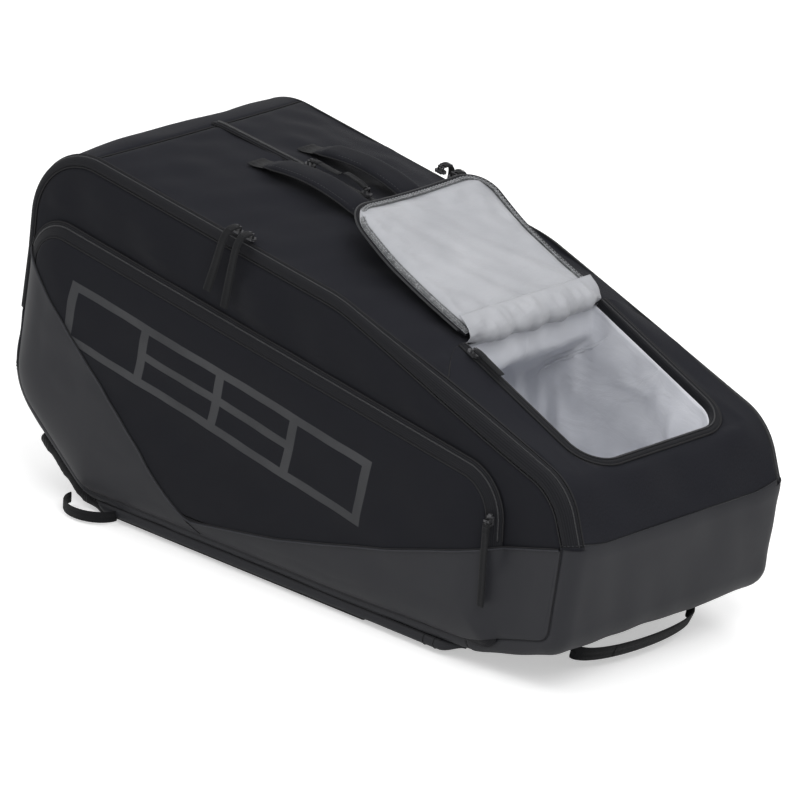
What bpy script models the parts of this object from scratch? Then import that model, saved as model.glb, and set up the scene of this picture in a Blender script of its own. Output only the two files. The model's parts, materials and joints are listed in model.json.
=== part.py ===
"""Racket tournament bag: three racket compartments, a shoe compartment with a zipped flap, side pockets,
grab handles and shoulder straps. Metres, +Z up. +X runs to the shoe end, -Y is the near side.
The origin is on the resting plane under the middle of the bag."""

import math

import bmesh
import bpy
from mathutils import Matrix, Vector

# Driving dimensions
HALF_WIDTH = 0.156  # outer face of a side panel
SIDE_T = 0.0055  # side panel thickness
GUSSET_T = 0.004  # top, bottom and end panel thickness
PAD_T = 0.0145  # back panel thickness: its face is the resting plane
PAD_HALF_WIDTH = 0.150
GAP = 0.0004  # free space between pieces that are sewn together
SEAM = 0.0036  # free space along a seam between two gusset panels
FOLD_Z = 0.150  # a side lid folds open along this height
FOLD_Y = 0.1780  # distance of the fold's axis from the middle plane
POCKET_DEPTH = 0.018  # how far a side pocket bulges
POCKET_WALL = 0.0028
POCKET_COLUMNS = 22
POCKET_ROWS = 7
YG = HALF_WIDTH - SIDE_T - GAP  # half width of the gusset panels

# Corners of the bag's outline seen from the side, at a side seam: x, z, fillet radius.
SIDE_OUTLINE = [
    (0.250, 0.0145, 0.15),
    (-0.305, 0.0145, 0.05),
    (-0.418, 0.107, 0.07),
    (-0.400, 0.262, 0.10),
    (-0.391, 0.3950, 0.086),
    (0.0525, 0.3337, 0.20),
    (0.200, 0.2837, 0.30),
    (0.366, 0.2300, 0.075),
    (0.3885, 0.165, 0.04),
    (0.374, 0.048, 0.035),
]
# The same corners on the middle plane, where the top bulges and the fabric dips at the shoe end.
MID_OUTLINE = [
    (0.250, 0.0145, 0.15),
    (-0.305, 0.0145, 0.05),
    (-0.418, 0.107, 0.07),
    (-0.404, 0.262, 0.10),
    (-0.398, 0.4100, 0.125),
    (-0.045, 0.3730, 0.20),
    (0.171, 0.3100, 0.04),
    (0.369, 0.2250, 0.03),
    (0.389, 0.158, 0.04),
    (0.375, 0.048, 0.035),
]
POCKET_OUTLINE = [
    (0.291, 0.030, 0.02),
    (0.291, 0.2160, 0.045),
    (0.100, 0.2440, 0.30),
    (-0.394, 0.3157, 0.060),
    (-0.402, 0.125, 0.05),
    (-0.295, 0.030, 0.04),
]
POCKET_TOP = (0.2583, -0.1456)  # height of the pocket's upper edge at x = 0, and its slope
ARC_STEPS = 6
STRAIGHT_STEPS = 3
PER_CORNER = ARC_STEPS + 1 + STRAIGHT_STEPS

DIVIDER_END_X = 0.040
DIVIDER_Y = 0.0500
DIVIDER_T = 0.0040
DIVIDER_INSET = 0.034  # a divider ends this far inside the bag's outline
BOOT_SEAM_Z = 0.166  # the seam between the shoe surround and the coated boot
BACK_PANEL_END_X = 0.222  # the back panel ends where the base rises
STRAP_FIELD = ((-0.295, 0.195), (0.013, 0.128), 0.0095)  # recess for a shoulder strap: x, |y|, depth

# Shoe compartment
HINGE_X = 0.171
HINGE_Z = 0.310
FLAP_SLOPE = math.atan2(0.3100 - 0.2250, 0.369 - 0.171)  # opening plane, down towards the shoe end
FLAP_LENGTH = 0.194
FLAP_HALF_WIDTH = 0.0965
FLAP_T = 0.005
FLAP_RADIUS = 0.032
FLAP_AXIS_RISE = 0.0045  # the fold's axis above the opening plane
FLAP_OPEN = math.radians(179.0)
ZIP_W = 0.003  # one half of a zip
ZIP_T = 0.0018
ZIP_LIFT = 0.0036  # a side zip above the gusset's edge
RIM_ZIP_RISE = 0.0012  # the rim's zip above the opening plane
OPENING_MARGIN = 0.0055  # the opening is this much larger than the flap
FLAT_HALF_WIDTH = 0.109  # the surround is flat as far as this, then climbs to the side seams

# Sliders and pullers
SLIDER_L = 0.013
SLIDER_W = 0.008
BAR_RISE = 0.0066  # pull bar above the zip
BAR_R = 0.0007
EYE_R = 0.0029
EYE_HOLE_R = 0.0017

# Grab handles on the top
HANDLE_Y = 0.036
HANDLE_W = 0.030
HANDLE_T = 0.012
HANDLE_HEAD_X = -0.190
HANDLE_GRIP_X = (-0.166, -0.030)
HANDLE_SHOE_X = 0.060

MATERIALS = {
    "black_fabric": ((0.021, 0.022, 0.027), 0.85, 0.0),
    "grey_coated": ((0.046, 0.047, 0.056), 0.55, 0.0),
    "lining": ((0.55, 0.56, 0.59), 0.55, 0.0),
    "webbing": ((0.014, 0.014, 0.018), 0.75, 0.0),
    "zip_tape": ((0.030, 0.031, 0.037), 0.70, 0.0),
    "zip_metal": ((0.060, 0.060, 0.065), 0.35, 0.9),
    "mesh_pad": ((0.030, 0.030, 0.036), 0.90, 0.0),
    "hard_plastic": ((0.018, 0.018, 0.020), 0.45, 0.0),
}


def clear_scene():
    for obj in list(bpy.data.objects):
        bpy.data.objects.remove(obj)


def material(name):
    found = bpy.data.materials.get(name)
    if found:
        return found
    color, roughness, metallic = MATERIALS[name]
    made = bpy.data.materials.new(name)
    made.use_nodes = True
    shader = made.node_tree.nodes["Principled BSDF"]
    shader.inputs["Base Color"].default_value = (*color, 1.0)
    shader.inputs["Roughness"].default_value = roughness
    shader.inputs["Metallic"].default_value = metallic
    made.diffuse_color = (*color, 1.0)
    return made


def fold_point(sign):
    """A point on the line about which a side lid folds open."""
    return (0, sign * FOLD_Y, FOLD_Z)


def add(name, mesh_data, slot, origin=(0, 0, 0)):
    """Links a bmesh as an object whose origin is at the given point, with its faces turned outwards."""
    bmesh.ops.remove_doubles(mesh_data, verts=mesh_data.verts, dist=1e-6)
    bmesh.ops.recalc_face_normals(mesh_data, faces=mesh_data.faces)
    if mesh_data.calc_volume(signed=True) < 0:
        bmesh.ops.reverse_faces(mesh_data, faces=mesh_data.faces)
    bmesh.ops.translate(mesh_data, verts=mesh_data.verts, vec=-Vector(origin))
    mesh = bpy.data.meshes.new(name)
    mesh_data.to_mesh(mesh)
    mesh_data.free()
    obj = bpy.data.objects.new(name, mesh)
    bpy.context.scene.collection.objects.link(obj)
    obj.location = origin
    mesh.materials.append(material(slot))
    mesh.shade_smooth()
    mesh.set_sharp_from_angle(angle=math.radians(35))
    return obj


def rounded(corners):
    """Points round a polygon whose corners (x, z, radius) are filleted. Each corner gives PER_CORNER points."""
    points = []
    count = len(corners)
    tangents = []
    for i, (x, z, radius) in enumerate(corners):
        here = Vector((x, z))
        before = Vector(corners[i - 1][:2])
        after = Vector(corners[(i + 1) % count][:2])
        to_before = (before - here).normalized()
        to_after = (after - here).normalized()
        half = to_before.angle(to_after) / 2
        reach = radius / math.tan(half)
        centre = here + (to_before + to_after).normalized() * (radius / math.sin(half))
        start = here + to_before * reach
        end = here + to_after * reach
        tangents.append((start, end, centre))
    for i, (start, end, centre) in enumerate(tangents):
        a = start - centre
        turn = a.angle_signed(end - centre)
        for k in range(ARC_STEPS + 1):
            points.append(centre + Matrix.Rotation(-turn * k / ARC_STEPS, 2) @ a)
        following = tangents[(i + 1) % count][0]
        for k in range(1, STRAIGHT_STEPS + 1):
            points.append(end.lerp(following, k / (STRAIGHT_STEPS + 1)))
    return points


SIDE = rounded(SIDE_OUTLINE)
MID = rounded(MID_OUTLINE)


def along(points, q):
    """The point at a real index q of a closed list."""
    i = math.floor(q)
    return points[i % len(points)].lerp(points[(i + 1) % len(points)], q - i)


def smooth(t):
    t = min(1.0, max(0.0, t))
    return t * t * (3 - 2 * t)


def gusset(q, y):
    """A point of the bag's skin between the two side frames: round the outline by q, across by y."""
    side = along(SIDE, q)
    mid = along(MID, q)
    round_share = min(1.0, abs(y) / YG) ** 2.2
    flat_share = max(0.0, (abs(y) - FLAT_HALF_WIDTH) / (YG - FLAT_HALF_WIDTH)) ** 1.4
    flatness = smooth((mid.x + 0.08) / 0.23)
    p = mid.lerp(side, round_share * (1 - flatness) + min(1.0, flat_share) * flatness)
    return Vector((p.x, y, p.y))


def gusset_normal(q, y):
    across = gusset(q, min(y + 0.002, YG)) - gusset(q, max(y - 0.002, -YG))
    forward = gusset(q + 0.05, y) - gusset(q - 0.05, y)
    return forward.cross(across).normalized()


def index_at(corner, points, test):
    """The first real index after a corner's block start at which test(point) turns true."""
    q = float(corner * PER_CORNER)
    while not test(along(points, q)):
        q += 0.02
    return q


def stepped(q, distance):
    """The index that lies a distance further round the outline, on both outlines."""
    speed = min((along(line, q + 0.1) - along(line, q - 0.1)).length / 0.2 for line in (SIDE, MID))
    return q + distance / speed


def skin(grid):
    """A closed bmesh from two equal grids of points: [outer, inner], each rows of points."""
    made = bmesh.new()
    outer, inner = grid
    rows, columns = len(outer), len(outer[0])
    verts = [[[made.verts.new(p) for p in row] for row in layer] for layer in (outer, inner)]

    def quad(a, b, c, d):
        made.faces.new((a, b, c, d))

    for i in range(rows - 1):
        for j in range(columns - 1):
            for k in (0, 1):
                v = verts[k]
                quad(v[i][j], v[i + 1][j], v[i + 1][j + 1], v[i][j + 1])
    for i in range(rows - 1):
        for j in (0, columns - 1):
            quad(verts[0][i][j], verts[0][i + 1][j], verts[1][i + 1][j], verts[1][i][j])
    for j in range(columns - 1):
        for i in (0, rows - 1):
            quad(verts[0][i][j], verts[0][i][j + 1], verts[1][i][j + 1], verts[1][i][j])
    return made


def spread(start, end, count):
    return [start + (end - start) * k / (count - 1) for k in range(count)]


def wrapped_plate(q_from, q_to, rows, y_from, y_to, columns, thickness, rise=0.0):
    """A panel that follows the bag's skin, as a closed bmesh."""
    outer, inner = [], []
    for q in spread(q_from, q_to, rows):
        line = []
        below = []
        for y in spread(y_from, y_to, columns):
            normal = gusset_normal(q, y)
            for row, distance in ((line, rise), (below, rise - thickness)):
                p = gusset(q, y) + normal * distance
                row.append(Vector((p.x, min(y_to, max(y_from, p.y)), p.z)))
        outer.append(line)
        inner.append(below)
    return skin([outer, inner])


def prism(points, y_from, y_to):
    """A closed bmesh: a polygon of (x, z) points, extruded across the bag."""
    made = bmesh.new()
    face = made.faces.new([made.verts.new((p[0], y_from, p[1])) for p in points])
    moved = bmesh.ops.extrude_face_region(made, geom=[face])
    verts = [v for v in moved["geom"] if isinstance(v, bmesh.types.BMVert)]
    bmesh.ops.translate(made, verts=verts, vec=(0, y_to - y_from, 0))
    return made


def clip(points, height, keep_above):
    """The part of a closed (x, z) polygon above or below a height."""
    kept = []
    for i, p in enumerate(points):
        following = points[(i + 1) % len(points)]
        inside = (p[1] > height) == keep_above
        if inside:
            kept.append(Vector(p))
        if inside != ((following[1] > height) == keep_above):
            share = (height - p[1]) / (following[1] - p[1])
            kept.append(Vector(p).lerp(Vector(following), share))
    return kept


def shrink(points, distance):
    """A closed (x, z) polygon moved inwards by a distance."""
    moved = []
    count = len(points)
    area = sum(points[i - 1].cross(points[i]) for i in range(count))
    side = 1 if area > 0 else -1
    for i, p in enumerate(points):
        direction = (points[(i + 1) % count] - points[i - 1]).normalized()
        moved.append(p + Vector((-direction.y, direction.x)) * side * distance)
    return moved


def boolean(obj, cutter, operation):
    """Keeps a cutter as a hidden helper."""
    cutter.hide_render = True
    cutter.display_type = "WIRE"
    modifier = obj.modifiers.new(operation.lower() + "_" + cutter.name, "BOOLEAN")
    modifier.operation = operation
    modifier.solver = "EXACT"
    modifier.object = cutter


def box(low, high):
    made = bmesh.new()
    bmesh.ops.create_cube(made, size=1.0)
    low, high = Vector(low), Vector(high)
    for v in made.verts:
        v.co = (low + high) / 2 + Vector(v.co[k] * (high[k] - low[k]) for k in range(3))
    return made


# ---------------------------------------------------------------- panels of the body


def corner_index(corner):
    """Index of the middle of a corner's arc."""
    return corner * PER_CORNER + ARC_STEPS / 2


Q_BACK_END = corner_index(0)  # where the base starts to rise towards the shoe end
Q_CHAMFER_TOP = corner_index(2) + 1.5
Q_HEAD_TOP = corner_index(4) + 2.6
Q_HINGE = index_at(6, MID, lambda p: p.x >= HINGE_X)
Q_BOOT_TOP = index_at(8, MID, lambda p: p.y <= BOOT_SEAM_Z)


def build_gusset_panels():
    """The five panels that run round the bag between the two sides, parted by seams."""
    seams = [Q_BACK_END, Q_CHAMFER_TOP, Q_HEAD_TOP, Q_HINGE, Q_BOOT_TOP, Q_BACK_END + len(SIDE)]
    panels = (("bottom_panel", 20, 5, "grey_coated"), ("head_end_panel", 16, 9, "black_fabric"),
              ("top_panel", 20, 11, "black_fabric"), ("shoe_surround_panel", 18, 17, "black_fabric"),
              ("shoe_end_boot", 18, 7, "grey_coated"))
    for i, (name, rows, columns, slot) in enumerate(panels):
        first, last = stepped(seams[i], SEAM / 2), stepped(seams[i + 1], -SEAM / 2)
        panel = add(name, wrapped_plate(first, last, rows, -YG, YG, columns, GUSSET_T), slot)
        if name == "shoe_surround_panel":
            cutter = add("cut_shoe_opening", flap_prism(OPENING_MARGIN, -0.03, 0.03, hinge_side=0.012), slot)
            boolean(panel, cutter, "DIFFERENCE")


def build_back_panel():
    """The padded panel that lies on the wearer's back: a rim with a recessed field for the shoulder straps."""
    line = [p for p in SIDE[:2 * PER_CORNER] if p.x < BACK_PANEL_END_X]
    top, under = [], []
    for i, p in enumerate(line):
        direction = (line[min(len(line) - 1, i + 1)] - line[max(0, i - 1)]).normalized()
        out = Vector((-direction.y, direction.x))
        top.append(p + out * GAP)
        under.append(p + out * PAD_T)
    for p in under:
        p.y = max(p.y, 0.0)
    panel = add("back_panel", prism(top + under[::-1], -PAD_HALF_WIDTH, PAD_HALF_WIDTH), "mesh_pad")
    (x_from, x_to), widths, depth = STRAP_FIELD
    for sign, name in ((-1, "near"), (1, "far")):
        low_y, high_y = sorted(sign * width for width in widths)
        field = add(f"cut_{name}_strap_field", box((x_from, low_y, -0.01), (x_to, high_y, depth)), "mesh_pad")
        boolean(panel, field, "DIFFERENCE")


def build_side(sign, name):
    """One side: lower panel, lid, pocket in two halves, and the lid's zip."""
    low_y, high_y = sorted((sign * HALF_WIDTH, sign * (HALF_WIDTH - SIDE_T)))
    add(f"{name}_side_lower", prism(clip(SIDE, FOLD_Z - GAP, False), low_y, high_y), "grey_coated")
    add(f"{name}_lid_panel", prism(clip(SIDE, FOLD_Z + GAP, True), low_y, high_y), "black_fabric",
        origin=fold_point(sign))
    add(f"{name}_pocket_lower", pocket_shell(sign, False), "grey_coated")
    add(f"{name}_pocket_face", pocket_shell(sign, True), "black_fabric", origin=fold_point(sign))
    add(f"{name}_pocket_zip", pocket_zip(sign), "zip_tape", origin=fold_point(sign))
    q_from = 2 * PER_CORNER + 7.5
    q_to = index_at(8, SIDE, lambda p: p.y <= BOOT_SEAM_Z + 0.002)
    for part, from_edge, origin in (("lid_zip_half", 0.0026, fold_point(sign)),
                                    ("gusset_zip_half", 0.0060, (0, 0, 0))):
        low_y, high_y = sorted((sign * (YG - from_edge), sign * (YG - from_edge + ZIP_W)))
        add(f"{name}_{part}", zip_strip(q_from, q_to, low_y, high_y), "zip_tape", origin=origin)


def zip_strip(q_from, q_to, y_from, y_to):
    """Half a zip lying on the skin beside the side seam."""
    outer, inner = [], []
    for q in spread(q_from, q_to, 46):
        p = along(SIDE, q)
        direction = (along(SIDE, q + 0.05) - along(SIDE, q - 0.05)).normalized()
        out = Vector((-direction.y, direction.x))
        if out.dot(p - Vector((0, 0.2))) < 0:
            out = -out
        high, low = p + out * (ZIP_LIFT + ZIP_T), p + out * ZIP_LIFT
        outer.append([Vector((high.x, y, high.y)) for y in (y_from, y_to)])
        inner.append([Vector((low.x, y, low.y)) for y in (y_from, y_to)])
    return skin([outer, inner])


def pocket_bulge(x, z):
    """Outward bulge of a side pocket, falling to nothing at its outline."""
    left, right = POCKET_OUTLINE[4][0], POCKET_OUTLINE[0][0]
    u = (x - left) / (right - left)
    top = POCKET_TOP[0] + POCKET_TOP[1] * x
    v = (z - 0.030) / (top - 0.030)
    return POCKET_DEPTH * (max(0.0, 4 * u * (1 - u)) ** 0.45) * (max(0.0, 4 * v * (1 - v)) ** 0.45)


def pocket_shell(sign, above):
    """Half of a pocket's bulged outer wall, above or below the fold."""
    edge = clip(rounded(POCKET_OUTLINE), FOLD_Z + GAP if above else FOLD_Z - GAP, above)
    base = HALF_WIDTH + GAP
    left, right = min(p.x for p in edge) + 0.003, max(p.x for p in edge) - 0.003
    outer, inner = [], []
    for k in range(POCKET_COLUMNS):
        x = (left + right) / 2 - (right - left) / 2 * math.cos(math.pi * k / (POCKET_COLUMNS - 1))
        crossings = []
        for i, p in enumerate(edge):
            following = edge[(i + 1) % len(edge)]
            if (p.x - x) * (following.x - x) < 0:
                crossings.append(p.y + (following.y - p.y) * (x - p.x) / (following.x - p.x))
        fold, rim = (min(crossings), max(crossings)) if above else (max(crossings), min(crossings))
        line, below = [], []
        for m in range(POCKET_ROWS):
            z = fold + (rim - fold) * math.sin(math.pi / 2 * m / (POCKET_ROWS - 1))
            y = base + POCKET_WALL + pocket_bulge(x, z)
            line.append(Vector((x, sign * y, z)))
            below.append(Vector((x, sign * max(base, y - POCKET_WALL), z)))
        outer.append(line)
        inner.append(below)
    return skin([outer, inner])


def pocket_zip(sign):
    """The pocket's zip: a strip over the pocket's upper edge, ending above the fold."""
    path = rounded(POCKET_OUTLINE)
    lines = [shrink(path, distance) for distance in (0.0, 0.004, 0.009, 0.014)]
    kept = [i for i, p in enumerate(path) if p.y > FOLD_Z + 0.012]
    base = HALF_WIDTH + GAP + POCKET_WALL + 0.0014
    outer, inner = [], []
    for i in kept:
        points = [(line[i].x, base + pocket_bulge(*line[i]), line[i].y) for line in lines]
        outer.append([Vector((x, sign * (y + 0.0016), z)) for x, y, z in points])
        inner.append([Vector((x, sign * y, z)) for x, y, z in points])
    return skin([outer, inner])


def build_dividers():
    """Two padded walls that part the racket compartments."""
    inset = shrink(MID, DIVIDER_INSET)
    outline = [p for p in inset if p.x < DIVIDER_END_X]
    for sign, name in ((-1, "near"), (1, "far")):
        y = sign * DIVIDER_Y
        add(f"{name}_divider", prism(outline, y - DIVIDER_T / 2, y + DIVIDER_T / 2), "lining")


# ---------------------------------------------------------------- shoe compartment


def flap_frame(turned=0.0):
    """Matrix from the flap's own frame (x along the flap from the hinge, y across, z out) to the bag.
    Turned is the angle opened from the closed position."""
    axis = Vector((HINGE_X, 0, HINGE_Z)) + FLAP_AXIS_RISE * Vector((math.sin(FLAP_SLOPE), 0, math.cos(FLAP_SLOPE)))
    return Matrix.Translation(axis) @ Matrix.Rotation(FLAP_SLOPE - turned, 4, "Y")


def flap_outline(margin=0.0, hinge_side=0.0, steps=6):
    """Rounded rectangle in the flap's frame, counter-clockwise, with square corners at the hinge."""
    start = 0.006 - hinge_side
    end = FLAP_LENGTH + margin
    half = FLAP_HALF_WIDTH + margin
    radius = FLAP_RADIUS + margin
    points = [(start, -half)]
    for centre_y, first in ((-half + radius, -90), (half - radius, 0)):
        for k in range(steps + 1):
            angle = math.radians(first + 90 * k / steps)
            points.append((end - radius + radius * math.cos(angle), centre_y + radius * math.sin(angle)))
    points.append((start, half))
    return points


def flap_prism(margin, z_from, z_to, hinge_side=0.0, turned=0.0):
    made = bmesh.new()
    points = flap_outline(margin, hinge_side)
    face = made.faces.new([made.verts.new((x, y, z_from)) for x, y in points])
    moved = bmesh.ops.extrude_face_region(made, geom=[face])
    verts = [v for v in moved["geom"] if isinstance(v, bmesh.types.BMVert)]
    bmesh.ops.translate(made, verts=verts, vec=(0, 0, z_to - z_from))
    bmesh.ops.transform(made, matrix=flap_frame(turned), verts=made.verts)
    return made


def u_strip(margin, width, z_from, z_to, turned, start=0.010):
    """A strip round the free edges of the flap's outline, in the flap's frame."""
    inside = flap_outline(margin)
    outside = flap_outline(margin + width)
    outer, inner = [], []
    for a, b in zip(inside, outside):
        if a[0] < 0.01:
            a, b = (start, a[1]), (start, b[1])
        outer.append([Vector((*p, z_to)) for p in (a, b)])
        inner.append([Vector((*p, z_from)) for p in (a, b)])
    made = skin([outer, inner])
    bmesh.ops.transform(made, matrix=flap_frame(turned), verts=made.verts)
    return made


def build_shoe_compartment():
    hinge = flap_frame().translation
    add("shoe_flap", flap_prism(0.0, -FLAP_T, -0.0003, turned=FLAP_OPEN), "lining", origin=hinge)
    add("flap_zip_half", u_strip(0.0004, ZIP_W - 0.0006, -0.0040, -0.0022, FLAP_OPEN), "zip_tape", origin=hinge)
    rise = RIM_ZIP_RISE - FLAP_AXIS_RISE
    add("shoe_rim_zip", u_strip(OPENING_MARGIN + 0.0008, ZIP_W, rise, rise + ZIP_T, 0.0, 0.012), "zip_tape")
    half = FLAP_HALF_WIDTH - 0.001
    wall = 0.002
    back, mouth, front = 0.048, 0.164, 0.360
    floor, roof = 0.060, 0.290
    tub = [(back, floor), (front, floor), (front, 0.205), (0.346, 0.2230), (mouth, 0.2985), (mouth, roof),
           (back, roof)]
    inner = [(back + wall, floor + wall), (front - wall, floor + wall), (front - wall, 0.36),
             (mouth + wall, 0.36), (mouth + wall, roof - wall), (back + wall, roof - wall)]
    liner = add("shoe_liner", prism([Vector(p) for p in tub], -half, half), "lining")
    hollow = add("cut_shoe_liner", prism([Vector(p) for p in inner], -half + wall, half - wall), "lining")
    boolean(liner, hollow, "DIFFERENCE")


# ---------------------------------------------------------------- zip sliders and pullers


def ring_prism(outer, inner, across_from, across_to):
    """A closed ring of two equal point lists in (x, z), extruded along y."""
    made = bmesh.new()
    layers = []
    for y in (across_from, across_to):
        layers.append([[made.verts.new((p[0], y, p[1])) for p in ring] for ring in (outer, inner)])
    count = len(outer)
    for i in range(count):
        k = (i + 1) % count
        for layer in layers:
            made.faces.new((layer[0][i], layer[0][k], layer[1][k], layer[1][i]))
        for ring in (0, 1):
            made.faces.new((layers[0][ring][i], layers[0][ring][k], layers[1][ring][k], layers[1][ring][i]))
    return made


def add_slider(name, frame, bridge_across=False):
    """A slider in its own frame: x along the zip, z out of the zip, with a bridge for the puller's eye."""
    half_l, half_w = SLIDER_L / 2, SLIDER_W / 2
    body = box((-half_l, -half_w, 0.0), (half_l, half_w, 0.0024))
    bar = BAR_RISE - BAR_R, BAR_RISE + BAR_R
    window = [(-0.0028, 0.0020), (0.0028, 0.0020), (0.0028, bar[0]), (-0.0028, bar[0])]
    arch = [(-0.0038, 0.0010), (0.0038, 0.0010), (0.0038, bar[1]), (-0.0038, bar[1])]
    bridge = ring_prism(arch, window, -0.0011, 0.0011)
    if bridge_across:
        bmesh.ops.rotate(bridge, verts=bridge.verts, cent=(0, 0, 0), matrix=Matrix.Rotation(math.pi / 2, 3, "Z"))
    bmesh.ops.bevel(body, geom=[e for e in body.edges if abs(e.verts[0].co.z - e.verts[1].co.z) > 0.001],
                    offset=0.002, segments=2, affect="EDGES")
    slider = add(name, body, "zip_metal")
    helper = add(f"{name}_bridge", bridge, "zip_metal")
    boolean(slider, helper, "UNION")
    slider.matrix_world = frame
    helper.matrix_world = frame


def strip_profile(path, thickness):
    """A closed polygon of even thickness along a path of (a, b) points."""
    left, right = [], []
    for i, p in enumerate(path):
        direction = (Vector(path[min(i + 1, len(path) - 1)]) - Vector(path[max(i - 1, 0)])).normalized()
        out = Vector((-direction.y, direction.x)) * thickness / 2
        left.append(Vector(p) + out)
        right.append(Vector(p) - out)
    return left + right[::-1]


def add_puller(name, frame, path, width):
    """A soft puller on an eye. The frame's x is the pull bar; the path is (y, z) points from the eye outwards."""
    turns = [2 * math.pi * k / 12 for k in range(12)]
    rim, hole = ([(r * math.cos(t), r * math.sin(t)) for t in turns] for r in (EYE_R, EYE_HOLE_R))
    eye = ring_prism(rim, hole, -0.0009, 0.0009)
    bmesh.ops.rotate(eye, verts=eye.verts, cent=(0, 0, 0), matrix=Matrix.Rotation(math.pi / 2, 3, "Z"))
    strap = prism(strip_profile(path, 0.0018), -width / 2, width / 2)
    bmesh.ops.rotate(strap, verts=strap.verts, cent=(0, 0, 0), matrix=Matrix.Rotation(math.pi / 2, 3, "Z"))
    puller = add(name, eye, "webbing")
    helper = add(f"{name}_strap", strap, "webbing")
    boolean(puller, helper, "UNION")
    puller.matrix_world = frame
    helper.matrix_world = frame


def frame_of(origin, along_zip, out):
    """A matrix whose x is along_zip and whose z is out."""
    x = Vector(along_zip).normalized()
    z = (Vector(out) - x * x.dot(Vector(out))).normalized()
    y = z.cross(x)
    return Matrix.Translation(origin) @ Matrix((x, y, z)).transposed().to_4x4()


TOP_SLOPE = Vector((1, 0, -0.1382)).normalized()  # the top seam, down towards the shoe end
TOP_OUT = Vector((0.1382, 0, 1)).normalized()
MID_SLOPE = Vector((1, 0, -0.1048)).normalized()  # the centre zip
MID_OUT = Vector((0.1048, 0, 1)).normalized()


def build_main_sliders(sign, name):
    """Two sliders that meet on a lid's zip, with pullers that hang over the side."""
    y = sign * (YG - 0.0024)
    for tag, x in (("a", -0.1035), ("b", -0.0850)):
        q = index_at(4, SIDE, lambda p: p.x >= x and p.y > 0.3)
        p = along(SIDE, q)
        base = Vector((p.x, y, p.y)) + TOP_OUT * (ZIP_LIFT + ZIP_T + 0.0006)
        frame = frame_of(base, TOP_SLOPE, TOP_OUT)
        add_slider(f"{name}_main_slider_{tag}", frame)
        bar = base + TOP_OUT * BAR_RISE
        drop = 0.080 if tag == "b" else 0.072
        path = [(0.0024, 0.0), (0.0120, -0.0010), (0.0165, -0.0050), (0.0190, -0.0120), (0.0205, -0.0300),
                (0.0215, -drop)]
        add_puller(f"{name}_main_puller_{tag}", frame_of(bar, TOP_SLOPE * sign, TOP_OUT), path, 0.0095)


def build_pocket_slider(sign, name):
    x, z = POCKET_OUTLINE[1][0] - 0.007, 0.172
    bulge = pocket_bulge(x, z)
    y = HALF_WIDTH + GAP + POCKET_WALL + bulge + 0.0045
    base = Vector((x, sign * y, z))
    add_slider(f"{name}_pocket_slider", frame_of(base, (0, 0, 1), (0, sign, 0)), bridge_across=True)
    bar = base + Vector((0, sign * BAR_RISE, 0))
    path = [(0.0024, 0.0), (0.020, 0.0004), (0.092, -0.0004)]
    add_puller(f"{name}_pocket_puller", frame_of(bar, (sign, 0, 0), (0, sign, 0)), path, 0.0105)


def build_centre_zip():
    """The zip along the middle of the top, between the grab handles, with its two sliders drawn apart."""
    q_from = index_at(4, MID, lambda p: p.x >= -0.285 and p.y > 0.3)
    q_to = index_at(5, MID, lambda p: p.x >= 0.120)
    add("centre_zip", wrapped_plate(q_from, q_to, 20, -0.0055, 0.0055, 2, ZIP_T, 2 * GAP + ZIP_T), "zip_tape")
    paths = {"a": [(0.0024, 0.0), (0.012, 0.0008), (0.030, 0.0002), (0.043, 0.0010)],
             "b": [(0.0024, 0.0006), (0.012, 0.0030), (0.024, 0.0050), (0.032, 0.0055)]}
    for tag, x, towards in (("a", -0.1480, 1), ("b", -0.0660, -1)):
        p = along(MID, index_at(4, MID, lambda p: p.x >= x and p.y > 0.3))
        base = Vector((p.x, 0, p.y)) + MID_OUT * (2 * GAP + ZIP_T + 0.0008)
        add_slider(f"centre_slider_{tag}", frame_of(base, MID_SLOPE, MID_OUT), bridge_across=True)
        bar = base + MID_OUT * BAR_RISE
        add_puller(f"centre_puller_{tag}", frame_of(bar, (0, -towards, 0), MID_OUT), paths[tag], 0.0085)


def build_shoe_slider():
    """The slider on the rim of the shoe opening, near the fold, with its puller along the rim."""
    frame = flap_frame()
    y = -(FLAP_HALF_WIDTH + OPENING_MARGIN + 0.0008 + ZIP_W / 2)
    rise = -FLAP_AXIS_RISE + RIM_ZIP_RISE + ZIP_T + 0.0006
    along_edge = frame.to_3x3() @ Vector((1, 0, 0))
    out = frame.to_3x3() @ Vector((0, 0, 1))
    base = frame @ Vector((0.020, y - 0.0024, rise))
    add_slider("shoe_slider", frame_of(base, along_edge, out), bridge_across=True)
    bar = base + out * BAR_RISE
    path = [(0.0024, 0.0), (0.010, 0.0005), (0.042, 0.0002)]
    add_puller("shoe_puller", frame_of(bar, (0, -1, 0), out), path, 0.0080)


# ---------------------------------------------------------------- handles, loops and straps


def webbing_arc(points, width_direction, width, thickness):
    """A webbing band through 3-D points, as a closed bmesh. Its width runs along width_direction."""
    across = Vector(width_direction).normalized()
    outer, inner = [], []
    for i, p in enumerate(points):
        p = Vector(p)
        direction = (Vector(points[min(i + 1, len(points) - 1)]) - Vector(points[max(i - 1, 0)])).normalized()
        side = (across - direction * across.dot(direction)).normalized()
        out = direction.cross(side).normalized() * thickness / 2
        outer.append([p + out - side * width / 2, p + out + side * width / 2])
        inner.append([p - out - side * width / 2, p - out + side * width / 2])
    return skin([outer, inner])


def top_height(x, y):
    """Height of the bag's skin on the top, above a point (x, y)."""
    low, high = float(4 * PER_CORNER), float(7 * PER_CORNER)
    for _ in range(40):
        middle = (low + high) / 2
        if gusset(middle, y).x < x:
            low = middle
        else:
            high = middle
    return gusset(low, y).z


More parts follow.
